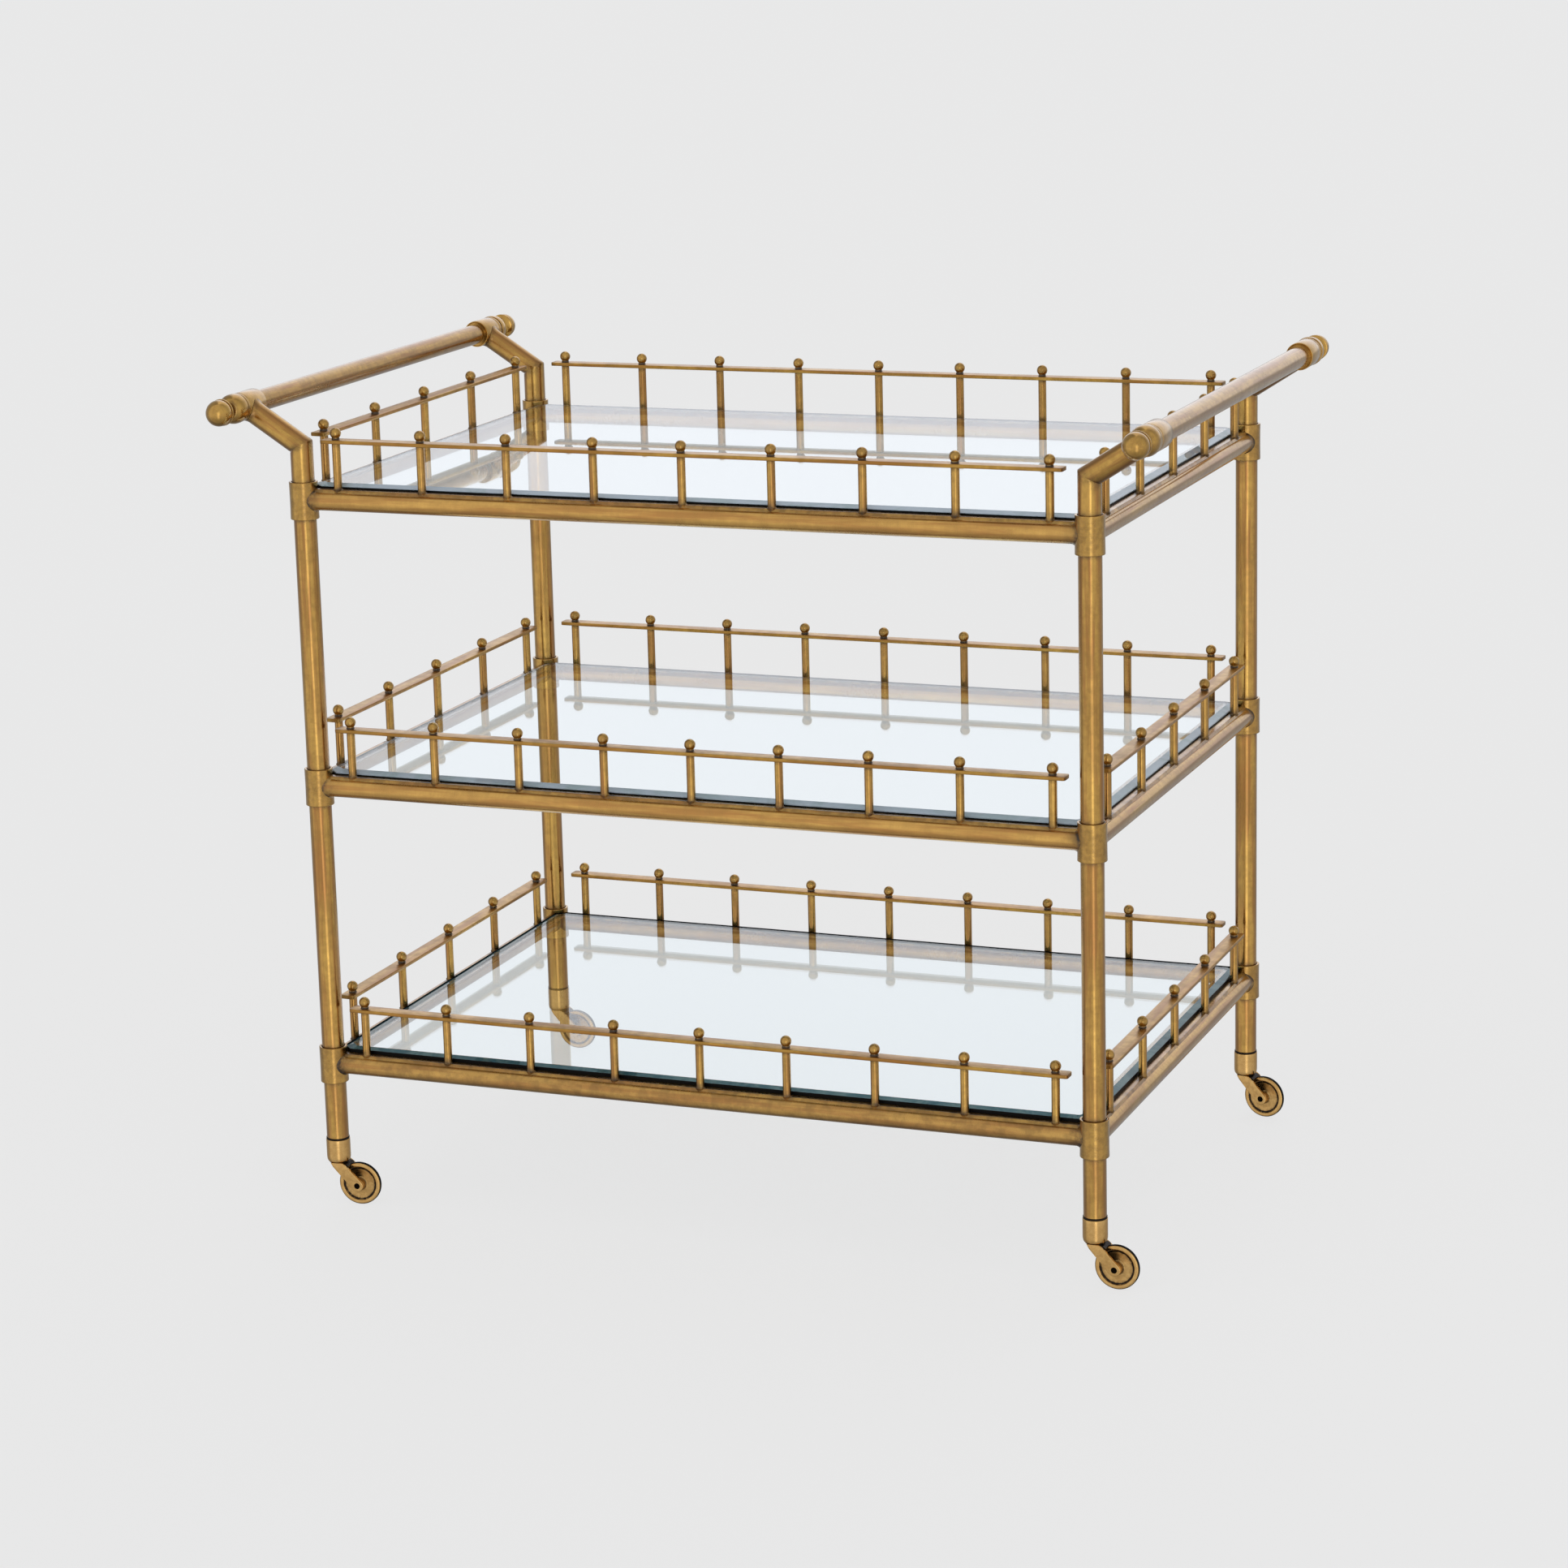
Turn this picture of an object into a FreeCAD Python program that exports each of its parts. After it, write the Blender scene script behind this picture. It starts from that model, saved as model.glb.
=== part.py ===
# Dessert trolley: brass tube frame, three glass shelves in low galleries, two push handles
# and four swivel casters. Millimetres. X is the length, Y the depth (front at -Y), Z up
# from the floor, with the origin on the floor under the middle. Round pieces are modelled
# with flats, and a round's size is the distance across them.
import FreeCAD, Part
import math
import os

from FreeCAD import Vector

# Frame tubes
leg_x = 455.0                  # leg axes, each side of the middle
leg_y = 308.5
leg_diameter = 25.4
leg_wall = 2.0
rail_diameter = 22.0
rail_wall = 1.5
rail_heights = {"bottom": 168.5, "middle": 495.5, "top": 822.5}
collar_diameter = 32.0
collar_height = 42.0
collar_chamfer = 1.2

# Shelf edge, heights above the rail's axis and depths inward from the plane of the legs
ledge_front = -3.0
ledge_back = 22.0
ledge_thickness = 2.0
tape_width = 8.0
tape_thickness = 0.6
glass_edge = 6.5
glass_corner = 12.0            # clipped off each corner, clear of the collar
glass_thickness = 4.5
bevel_width = 15.0
bevel_drop = 1.5

# Gallery round each shelf
long_side_posts = 9
long_side_pitch = 103.0
short_side_posts = 5
short_side_pitch = 127.0
post_diameter = 9.0
post_height = 52.0
strip_width = 18.0
strip_thickness = 4.0
strip_overhang = 16.0          # past the axis of the last post
strip_corner = 2.5
finial_diameter = 12.5
finial_rise = 7.0              # ball's centre above the strip
neck_diameter = 8.4

# Push handles
mitre_height = 883.0           # where the leg's axis meets the arm's
bar_reach = 67.5               # bar's axis beyond the leg's axis
bar_rise = 43.0                # bar's axis above the mitre
bar_diameter = 24.0
bar_wall = 2.0
sleeve_diameter = 32.0
sleeve_length = 42.0
cap_diameter = 33.2
cap_length = 19.5
cap_seam = 1.5
cap_seam_diameter = 30.4
cap_rim = 4.5
knob_neck_radius = 7.5
knob_waist_flare = 1.2
knob_radius = 14.5
knob_ring_radius = 14.9
knob_ring_width = 1.8
knob_ring_gap = 5.0            # ring's outer face behind the ball's centre
knob_centre = 39.0             # ball's centre beyond the sleeve's outer end

# Casters
cup_diameter = 27.4
cup_bottom = 51.5
cup_top = 80.5
cup_floor = 4.0
cup_round = 4.0
socket_diameter = 14.0
socket_top = 92.0
stem_diameter = 8.0
stem_top = 88.0
stem_tip = 1.5
stem_head_diameter = 11.0
stem_head_height = 1.5
swivel_gap = 0.3               # between the cup and the fork's crown
turning_clearance = 0.05       # round the stem and the axle, past their corners
wheel_radius = 25.0
wheel_trail = 25.0
fork_width = 25.0
fork_plate = 3.0
fork_top_offset = 3.5
fork_top_radius = 5.3
fork_end_radius = 7.0
crown_thickness = 5.5
crown_reach = 18.0
wheel_pocket_gap = 1.0
wheel_pocket_width = 12.0
axle_diameter = 6.5
axle_recess = 0.6              # axle's ends below the plates' faces
wheel_width = 9.0
hub_diameter = 13.6
hub_width = 18.4
web_width = 4.0
groove_radius = 19.0
rim_radius = 21.0
tyre_width = 5.6
tyre_depth = 1.6

# Flats on the round pieces
tube_sides = 12
rod_sides = 8
gallery_sides = 6
wheel_sides = 16

# Corners: sign along X, sign along Y and the way the caster trails, in degrees from +X
corners = {
    "front_left": (-1, -1, 6.0),
    "front_right": (1, -1, -2.0),
    "rear_left": (-1, 1, 0.0),
    "rear_right": (1, 1, -10.0),
}

up = Vector(0, 0, 1)
rail_radius = rail_diameter / 2
ledge_top = rail_radius + ledge_thickness
glass_bottom = ledge_top + tape_thickness
glass_top = glass_bottom + glass_thickness
strip_bottom = ledge_top + post_height
strip_top = strip_bottom + strip_thickness
leg_bottom = cup_bottom + cup_floor
crown_top = cup_bottom - swivel_gap
crown_bottom = crown_top - crown_thickness
bar_height = mitre_height + bar_rise
sleeve_end = leg_y + sleeve_length / 2


def flat_face(points):
    return Part.Face(Part.makePolygon(points + points[:1]))


def skin(rings, bored=False):
    """Solid whose flat faces join each ring of points to the next, with closed ends or bored through."""
    following = rings[1:] + rings[:1] if bored else rings[1:]
    faces = [] if bored else [flat_face(rings[0]), flat_face(rings[-1])]
    for low, high in zip(rings, following):
        for i in range(len(low)):
            faces.append(flat_face([low[i - 1], low[i], high[i], high[i - 1]]))
    solid = Part.Solid(Part.Shell(faces))
    if solid.Volume < 0:
        solid.reverse()
    return solid


def ring(radius, height, sides):
    """Corners of a round with flats, centred on Z."""
    corner = radius / math.cos(math.pi / sides)
    turns = [2 * math.pi * (i + 0.5) / sides for i in range(sides)]
    return [Vector(corner * math.cos(a), corner * math.sin(a), height) for a in turns]


def turned(profile, sides, bored=False):
    """Solid about Z through (radius, height) rings."""
    return skin([ring(radius, height, sides) for radius, height in profile], bored)


def curve(centre, reach, rise, start, end, steps):
    """Points on part of an ellipse, between two angles in degrees."""
    angles = [math.radians(start + (end - start) * i / steps) for i in range(steps + 1)]
    return [(centre[0] + reach * math.cos(a), centre[1] + rise * math.sin(a)) for a in angles]


def ball(centre_height, radius, start, steps):
    """Rings of a ball from an angle below its equator to a small flat at its full height."""
    rings = curve((0, centre_height), radius, radius, start, 50, steps)
    return rings + [(0.35 * radius, centre_height + radius)]


def turning_radius(diameter, sides):
    """Hole that a rod with flats turns in."""
    return diameter / 2 / math.cos(math.pi / sides) + turning_clearance


def moved(shape, place, rotation=FreeCAD.Rotation()):
    copy = shape.copy()
    copy.Placement = FreeCAD.Placement(place, rotation).multiply(copy.Placement)
    return copy


def rod(diameter, start, end, sides=tube_sides):
    axis = end.sub(start)
    blank = turned([(diameter / 2, 0), (diameter / 2, axis.Length)], sides)
    return moved(blank, start, FreeCAD.Rotation(up, axis))


def tube(diameter, wall, start, end):
    return rod(diameter, start, end).cut(rod(diameter - 2 * wall, start, end))


def box(low, high):
    size = high.sub(low)
    return Part.makeBox(size.x, size.y, size.z, low)


def half_space(point, normal, size=400.0):
    block = Part.makeBox(size, size, size, Vector(-size / 2, -size / 2, 0))
    block.Placement = FreeCAD.Placement(point, FreeCAD.Rotation(up, normal))
    return block


def extruded(outline, height, thickness):
    """Plate from (x, y) points."""
    return flat_face([Vector(x, y, height) for x, y in outline]).extrude(up * thickness)


def all_round(long_piece, short_piece):
    """The front and left pieces of a shelf's edge with their mirror images."""
    turn = FreeCAD.Rotation(up, 180)
    opposite = [moved(piece, Vector(0, 0, 0), turn) for piece in (long_piece, short_piece)]
    return [long_piece, short_piece] + opposite


def leg_axis(corner, height):
    sign_x, sign_y, _ = corners[corner]
    return Vector(sign_x * leg_x, sign_y * leg_y, height)


def arm_direction(corner):
    return Vector(corners[corner][0] * bar_reach, 0, bar_rise).normalize()


def make_leg(corner):
    mitre = leg_axis(corner, mitre_height)
    blank = tube(leg_diameter, leg_wall, leg_axis(corner, leg_bottom), mitre + up * leg_diameter)
    return blank.cut(half_space(mitre, up + arm_direction(corner)))


def make_arm(corner):
    """Arm from the leg's mitre to the sleeve, its end cut round the sleeve."""
    mitre = leg_axis(corner, mitre_height)
    along = arm_direction(corner)
    bar = mitre + Vector(corners[corner][0] * bar_reach, 0, bar_rise)
    across = Vector(0, sleeve_length, 0)
    blank = tube(leg_diameter, leg_wall, mitre - along * leg_diameter, bar)
    mitred = blank.cut(half_space(mitre, (up + along) * -1))
    return mitred.cut(rod(sleeve_diameter, bar - across, bar + across))


def make_collar(corner, axis_height):
    radius = collar_diameter / 2
    flat = radius - collar_chamfer
    half = collar_height / 2
    bore = leg_diameter / 2
    profile = [
        (bore, -half),
        (flat, -half),
        (radius, collar_chamfer - half),
        (radius, half - collar_chamfer),
        (flat, half),
        (bore, half),
    ]
    return moved(turned(profile, tube_sides, bored=True), leg_axis(corner, axis_height))


def coped(blank, height):
    """A bar from leg to leg with its ends cut round the collars."""
    for corner in corners:
        foot = leg_axis(corner, height - collar_height)
        blank = blank.cut(rod(collar_diameter, foot, foot + up * 2 * collar_height))
    return blank


def make_rail(start, end):
    return coped(tube(rail_diameter, rail_wall, start, end), start.z)


def ledge_bar(along, across, height):
    """Flat bar on the rail along the -Y edge, mitred into its neighbours."""
    outer = (along - ledge_front, across - ledge_front)
    inner = (along - ledge_back, across - ledge_back)
    outline = [(-outer[0], -outer[1]), (outer[0], -outer[1]), (inner[0], -inner[1]), (-inner[0], -inner[1])]
    return extruded(outline, height, ledge_thickness)


def make_ledges(axis_height):
    height = axis_height + rail_radius
    quarter = FreeCAD.Rotation(up, -90)
    front = coped(ledge_bar(leg_x, leg_y, height), height)
    left = coped(moved(ledge_bar(leg_y, leg_x, height), Vector(0, 0, 0), quarter), height)
    return all_round(front, left)


def make_tapes(axis_height):
    """Strips along the straight edges of the glass."""
    low = axis_height + ledge_top
    high = low + tape_thickness
    x = leg_x - glass_edge
    y = leg_y - glass_edge
    end_x = x - glass_corner
    end_y = y - glass_corner
    front = box(Vector(-end_x, -y, low), Vector(end_x, tape_width - y, high))
    left = box(Vector(-x, -end_y, low), Vector(tape_width - x, end_y, high))
    return all_round(front, left)


def pane_outline(inset, height):
    """Rectangle with clipped corners, every edge the same distance inside the glass's."""
    x = leg_x - glass_edge - inset
    y = leg_y - glass_edge - inset
    corner = glass_corner - (2 - math.sqrt(2)) * inset
    quarter = [(x, corner - y), (x, y - corner), (x - corner, y), (corner - x, y)]
    outline = quarter + [(-x, -y) for x, y in quarter]
    return [Vector(x, y, height) for x, y in outline]


def make_glass(axis_height):
    """Sheet with a wide shallow bevel round its top."""
    top = axis_height + glass_top
    return skin([
        pane_outline(0, axis_height + glass_bottom),
        pane_outline(0, top - bevel_drop),
        pane_outline(bevel_width, top),
    ])


def post_places(height):
    places = []
    for side in (-1, 1):
        for i in range(long_side_posts):
            offset = (i - (long_side_posts - 1) / 2) * long_side_pitch
            places.append(Vector(offset, side * leg_y, height))
        for i in range(short_side_posts):
            offset = (i - (short_side_posts - 1) / 2) * short_side_pitch
            places.append(Vector(side * leg_x, offset, height))
    return places


def make_posts(axis_height):
    post = turned([(post_diameter / 2, 0), (post_diameter / 2, post_height)], gallery_sides)
    return [moved(post, place) for place in post_places(axis_height + ledge_top)]


def make_finials(axis_height):
    """Balls on short necks: one ring each for the neck, the ball's widest part and its top."""
    radius = finial_diameter / 2
    profile = [(neck_diameter / 2, 0), (radius, finial_rise), (0.55 * radius, finial_rise + radius)]
    finial = turned(profile, gallery_sides)
    return [moved(finial, place) for place in post_places(axis_height + strip_top)]


def gallery_strip(half_length):
    """Flat strip along X, its ends cut off at the corners."""
    half = strip_width / 2
    blunt = half_length - strip_corner
    flat = half - strip_corner
    outline = [
        (-half_length, -flat), (-blunt, -half), (blunt, -half), (half_length, -flat),
        (half_length, flat), (blunt, half), (-blunt, half), (-half_length, flat),
    ]
    return extruded(outline, 0, strip_thickness)


def make_strips(axis_height):
    height = axis_height + strip_bottom
    long_half = (long_side_posts - 1) / 2 * long_side_pitch + strip_overhang
    short_half = (short_side_posts - 1) / 2 * short_side_pitch + strip_overhang
    front = moved(gallery_strip(long_half), Vector(0, -leg_y, height))
    left = moved(gallery_strip(short_half), Vector(-leg_x, 0, height), FreeCAD.Rotation(up, 90))
    return all_round(front, left)


def at_bar_ends(piece):
    """Copies of a piece that is modelled along +Z from a sleeve's outer end."""
    copies = []
    for side_x in (-1, 1):
        for side_y in (-1, 1):
            place = Vector(side_x * (leg_x + bar_reach), side_y * sleeve_end, bar_height)
            copies.append(moved(piece, place, FreeCAD.Rotation(up, Vector(0, side_y, 0))))
    return copies


def make_bar(side_x):
    x = side_x * (leg_x + bar_reach)
    return tube(bar_diameter, bar_wall, Vector(x, -sleeve_end, bar_height), Vector(x, sleeve_end, bar_height))


def make_sleeves():
    radius = sleeve_diameter / 2
    bore = bar_diameter / 2
    profile = [
        (bore, -sleeve_length),
        (radius - collar_chamfer, -sleeve_length),
        (radius, collar_chamfer - sleeve_length),
        (radius, 0),
        (bore, 0),
    ]
    return at_bar_ends(turned(profile, tube_sides, bored=True))


def make_caps():
    """Domed cap that closes the tube, with a seam against the sleeve."""
    radius = cap_diameter / 2
    crown = cap_seam + cap_rim
    dome = curve((knob_neck_radius, crown), radius - knob_neck_radius, cap_length - crown, 0, 90, 2)
    profile = [(cap_seam_diameter / 2, 0), (cap_seam_diameter / 2, cap_seam), (radius, cap_seam)] + dome
    return at_bar_ends(turned(profile, tube_sides))


def make_knobs():
    """Ball with a thin ring behind it, on a waisted neck."""
    ring_end = knob_centre - knob_ring_gap
    ring_start = ring_end - knob_ring_width
    ball_start = -math.degrees(math.asin(knob_ring_gap / knob_radius))
    profile = [
        (knob_neck_radius, cap_length),
        (knob_neck_radius + knob_waist_flare, (cap_length + ring_start) / 2),
        (knob_ring_radius, ring_start),
        (knob_ring_radius, ring_end),
    ]
    return at_bar_ends(turned(profile + ball(knob_centre, knob_radius, ball_start, 2), tube_sides))


def make_cup(corner):
    """Ferrule on the leg's foot, with the socket that guides the caster's stem inside the leg."""
    radius = cup_diameter / 2
    bore = turning_radius(stem_diameter, rod_sides)
    rounded = curve((radius - cup_round, cup_bottom + cup_round), cup_round, cup_round, -90, 0, 1)
    profile = [(bore, cup_bottom)] + rounded + [
        (radius, cup_top),
        (leg_diameter / 2, cup_top),
        (leg_diameter / 2, leg_bottom),
        (socket_diameter / 2, leg_bottom),
        (socket_diameter / 2, socket_top),
        (bore, socket_top),
    ]
    return moved(turned(profile, tube_sides, bored=True), leg_axis(corner, 0))


def fork_outline():
    """Side plate's outline: two rounds, joined by the lines that touch both."""
    top = (fork_top_offset, crown_top - fork_top_radius)
    end = (wheel_trail, wheel_radius)
    run = math.hypot(end[0] - top[0], end[1] - top[1])
    heading = math.degrees(math.atan2(end[1] - top[1], end[0] - top[0]))
    spread = math.degrees(math.acos((fork_top_radius - fork_end_radius) / run))
    top_round = curve(top, fork_top_radius, fork_top_radius, heading + spread, heading - spread + 360, 4)
    end_round = curve(end, fork_end_radius, fork_end_radius, heading - spread, heading + spread, 6)
    return top_round + end_round


def make_fork():
    """Cast fork, trailing along +X from the stem's axis at the origin."""
    half = fork_width / 2
    crown_outline = curve((0, 0), half, half, 90, 270, 6) + [(crown_reach, -half), (crown_reach, half)]
    fork = extruded(crown_outline, crown_bottom, crown_thickness)
    side = extruded(fork_outline(), 0, fork_plate)
    upright = FreeCAD.Rotation(Vector(1, 0, 0), 90)
    for outer_face in (-half + fork_plate, half):
        fork = fork.fuse(moved(side, Vector(0, outer_face, 0), upright))
    across = Vector(0, fork_width, 0)
    axle = Vector(wheel_trail, 0, wheel_radius)
    pocket = Vector(0, wheel_pocket_width / 2, 0)
    pocket_diameter = 2 * (wheel_radius / math.cos(math.pi / wheel_sides) + wheel_pocket_gap)
    fork = fork.cut(rod(pocket_diameter, axle - pocket, axle + pocket, wheel_sides))
    fork = fork.cut(rod(axle_diameter, axle - across, axle + across, rod_sides))
    fork = fork.cut(rod(stem_diameter, Vector(0, 0, 0), up * cup_bottom, rod_sides))
    return fork.removeSplitter()


def make_stem():
    """Stem with its riveted head under the crown and a tapered tip."""
    radius = stem_diameter / 2
    return turned([
        (stem_head_diameter / 2, crown_bottom - stem_head_height),
        (stem_head_diameter / 2, crown_bottom),
        (radius, crown_bottom),
        (radius, stem_top - stem_tip),
        (radius - stem_tip, stem_top),
    ], rod_sides)


def on_axle(piece):
    """Turned piece laid on the axle, with its own axis across the fork."""
    place = Vector(wheel_trail, 0, wheel_radius)
    return moved(piece, place, FreeCAD.Rotation(up, Vector(0, 1, 0)))


def barrel(radius, width, sides):
    return turned([(radius, -width / 2), (radius, width / 2)], sides)


def make_axle():
    return on_axle(barrel(axle_diameter / 2, fork_width - 2 * axle_recess, rod_sides))


def make_wheel():
    """Brass wheel: hub, thin web and a rim that the tyre is stretched on."""
    seat = wheel_radius - tyre_depth
    rim = [(groove_radius, web_width / 2), (rim_radius, wheel_width / 2), (seat, wheel_width / 2)]
    other_rim = [(radius, -height) for radius, height in reversed(rim)]
    disc = turned(rim + other_rim, wheel_sides)
    hub = barrel(hub_diameter / 2, hub_width, rod_sides)
    bore = barrel(turning_radius(axle_diameter, rod_sides), 2 * hub_width, rod_sides)
    return on_axle(disc.fuse(hub).cut(bore).removeSplitter())


def make_tyre():
    half = tyre_width / 2
    seat = wheel_radius - tyre_depth
    profile = [(seat, -half), (wheel_radius, -half), (wheel_radius, half), (seat, half)]
    return on_axle(turned(profile, wheel_sides, bored=True))


def at_corner(piece, corner):
    return moved(piece, leg_axis(corner, 0), FreeCAD.Rotation(up, corners[corner][2]))


def save(name, pieces):
    shape = Part.makeCompound(pieces) if len(pieces) > 1 else pieces[0]
    shape.exportStep("parts/" + name + ".step")


def save_shelf(shelf, height):
    save("collars_" + shelf, [make_collar(corner, height) for corner in corners])
    long_rails = [make_rail(Vector(-leg_x, y, height), Vector(leg_x, y, height)) for y in (-leg_y, leg_y)]
    save("long_rails_" + shelf, long_rails)
    side_rails = [make_rail(Vector(x, -leg_y, height), Vector(x, leg_y, height)) for x in (-leg_x, leg_x)]
    save("side_rails_" + shelf, side_rails)
    save("ledges_" + shelf, make_ledges(height))
    save("glass_" + shelf, [make_glass(height)])
    save("posts_" + shelf, make_posts(height))
    save("strips_" + shelf, make_strips(height))
    save("finials_" + shelf, make_finials(height))


def main():
    os.makedirs("parts", exist_ok=True)
    for shelf, height in rail_heights.items():
        save_shelf(shelf, height)
    save("glazing_tapes", [tape for height in rail_heights.values() for tape in make_tapes(height)])
    save("handle_bar_left", [make_bar(-1)])
    save("handle_bar_right", [make_bar(1)])
    save("handle_sleeves", make_sleeves())
    save("handle_caps", make_caps())
    save("handle_knobs", make_knobs())
    save("caster_cups", [make_cup(corner) for corner in corners])
    swivel_pieces = {
        "caster_fork_": make_fork(),
        "caster_stem_": make_stem(),
        "caster_axle_": make_axle(),
        "caster_wheel_": make_wheel(),
        "caster_tyre_": make_tyre(),
    }
    for corner in corners:
        save("leg_" + corner, [make_leg(corner)])
        save("handle_arm_" + corner, [make_arm(corner)])
        for name, piece in swivel_pieces.items():
            save(name + corner, [at_corner(piece, corner)])


main()
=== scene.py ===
import bpy
import numpy as np
from mathutils import Matrix, Vector


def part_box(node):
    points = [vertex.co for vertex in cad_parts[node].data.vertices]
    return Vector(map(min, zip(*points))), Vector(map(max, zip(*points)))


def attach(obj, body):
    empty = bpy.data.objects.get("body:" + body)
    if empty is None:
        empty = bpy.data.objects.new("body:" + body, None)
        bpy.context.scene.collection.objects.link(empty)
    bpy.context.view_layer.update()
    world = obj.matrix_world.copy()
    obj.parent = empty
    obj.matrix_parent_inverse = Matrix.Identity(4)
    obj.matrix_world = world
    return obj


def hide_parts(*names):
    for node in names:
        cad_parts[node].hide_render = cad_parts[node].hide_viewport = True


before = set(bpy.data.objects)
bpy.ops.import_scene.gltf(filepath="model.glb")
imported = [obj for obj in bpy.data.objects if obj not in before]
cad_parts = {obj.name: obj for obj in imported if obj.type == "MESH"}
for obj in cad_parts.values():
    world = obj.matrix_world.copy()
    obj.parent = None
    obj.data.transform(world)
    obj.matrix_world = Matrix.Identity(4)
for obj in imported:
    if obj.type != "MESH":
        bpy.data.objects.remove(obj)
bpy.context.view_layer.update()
scene = bpy.context.scene
scene.view_settings.view_transform = "Standard"

mm = 0.001                                       # shapes are worked out in millimetres
corners = ["front_left", "front_right", "rear_left", "rear_right"]
shelves = ["bottom", "middle", "top"]


# Places read from the frame

def nodeBox(node):                               # lowest and highest corner, in millimetres
    low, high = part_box(node)
    return np.array(low) / mm, np.array(high) / mm


def nodeMiddle(node):                            # middle of that box
    low, high = nodeBox(node)
    return (low + high) / 2


legAt = {corner: nodeMiddle("leg_" + corner) * (1, 1, 0) for corner in corners}
legX, legY = abs(legAt["front_right"][0]), abs(legAt["front_right"][1])
legRadius = np.ptp([box[0] for box in nodeBox("leg_front_right")]) / 2
collarRadius = nodeBox("collars_top")[1][0] - legX
collarHeight = round(np.ptp([box[2] for box in nodeBox("collars_top")]), 3)
railZ = {shelf: nodeMiddle("long_rails_" + shelf)[2] for shelf in shelves}
railRadius = np.ptp([box[2] for box in nodeBox("long_rails_top")]) / 2
barAt = nodeMiddle("handle_bar_right")
barRadius = np.ptp([box[0] for box in nodeBox("handle_bar_right")]) / 2
sleeveEnd = nodeBox("handle_bar_right")[1][1]
ledgeTop = nodeBox("ledges_top")[1][2] - railZ["top"]           # heights above a rail's axis
stripLow, stripHigh = (box[2] - railZ["top"] for box in nodeBox("strips_top"))
print("places read from the frame: legs at", legX, legY, "rails at", railZ)


# Surfaces as grids of points

def quadCorners(rows, columns, wrapRows):
    # Row and column numbers of the corners of each quad; the columns always go round
    i, j = np.meshgrid(np.arange(rows if wrapRows else rows - 1), np.arange(columns), indexing="ij")
    return np.stack([i, i, i + 1, i + 1], -1).reshape(-1, 4), np.stack([j, j + 1, j + 1, j], -1).reshape(-1, 4)


def capCorners(columns):
    # Quads across a ring of points, each joining two neighbours to the two opposite them
    k = np.arange(columns // 2 - 1)
    return np.stack([k, k + 1, columns - 2 - k, columns - 1 - k], -1)


def measured(points, axis, wrap):
    # Distance along the grid from its first row or column, averaged over the other way
    step = np.linalg.norm(np.roll(points, -1, axis) - points, axis=-1).mean(1 - axis)
    return np.concatenate([[0], np.cumsum(step if wrap else step[:-1])])


copyShift = 61.0                                 # along the pattern, from one copy of a surface to the next


def surface(points, tarnishAndShade=0.0, wrapRows=False, places=((0, 0, 0),)):
    # Closed surface over a grid of points whose columns go round: its ends are capped, or its
    # last row joins its first. Each place gives one shifted copy. UV is the distance in metres.
    points = np.asarray(points, float)
    rows, columns, _ = points.shape
    i, j = quadCorners(rows, columns, wrapRows)
    quads = i % rows * columns + j % columns
    along, around = measured(points, 0, wrapRows), measured(points, 1, True)
    uv = np.stack([around[j], along[i]], -1)
    if not wrapRows:
        cap = capCorners(columns)
        lastRow = (rows - 1) * columns
        quads = np.concatenate([quads, cap[:, ::-1], cap + lastRow])
        capUV = np.stack([around[cap], np.zeros(cap.shape)], -1)
        uv = np.concatenate([uv, capUV[:, ::-1], capUV + (0, along[-1])])
    flat = points.reshape(-1, 3)
    a, b, c, d = (flat[quads[:, k]] - flat.mean(0) for k in range(4))
    volume = np.einsum("ij,ij->", np.cross(a, b), c) + np.einsum("ij,ij->", np.cross(a, c), d)
    if volume < 0:                               # the first grid direction ran the other way round
        quads, uv = quads[:, ::-1], uv[:, ::-1]
    places = np.asarray(places, float)
    count = len(places)
    shift = np.arange(count)[:, None, None]
    return {
        "points": (flat[None] + places[:, None]).reshape(-1, 3),
        "quads": (quads[None] + shift * len(flat)).reshape(-1, 4),
        "uv": (uv[None] + shift[..., None] * (0, copyShift)).reshape(-1, 2),
        "tarnishAndShade": np.tile(np.broadcast_to(tarnishAndShade, (rows, columns)).reshape(-1), count),
    }


def buildPiece(node, kind, material, surfaces, body="frame", sharp=38):
    # One mesh from several surfaces, named after the node that it stands for; edges sharper than
    # the angle in degrees stay creases
    name = node + "_" + kind
    counts = np.cumsum([0] + [len(s["points"]) for s in surfaces])
    points = np.concatenate([s["points"] for s in surfaces]) * mm
    quads = np.concatenate([s["quads"] + start for s, start in zip(surfaces, counts)])
    mesh = bpy.data.meshes.new(name)
    mesh.from_pydata(points.tolist(), [], quads.tolist())
    uv = np.concatenate([s["uv"] for s in surfaces]) * mm
    mesh.uv_layers.new(name="surface").data.foreach_set("uv", uv.ravel())
    tarnishAndShade = np.concatenate([s["tarnishAndShade"] for s in surfaces])
    mesh.attributes.new("tarnishAndShade", "FLOAT", "POINT").data.foreach_set("value", tarnishAndShade)
    mesh.shade_smooth()
    mesh.set_sharp_from_angle(angle=np.radians(sharp))
    mesh.materials.append(material)
    piece = bpy.data.objects.new(name, mesh)
    scene.collection.objects.link(piece)
    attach(piece, body)
    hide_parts(node)
    return piece


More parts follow.
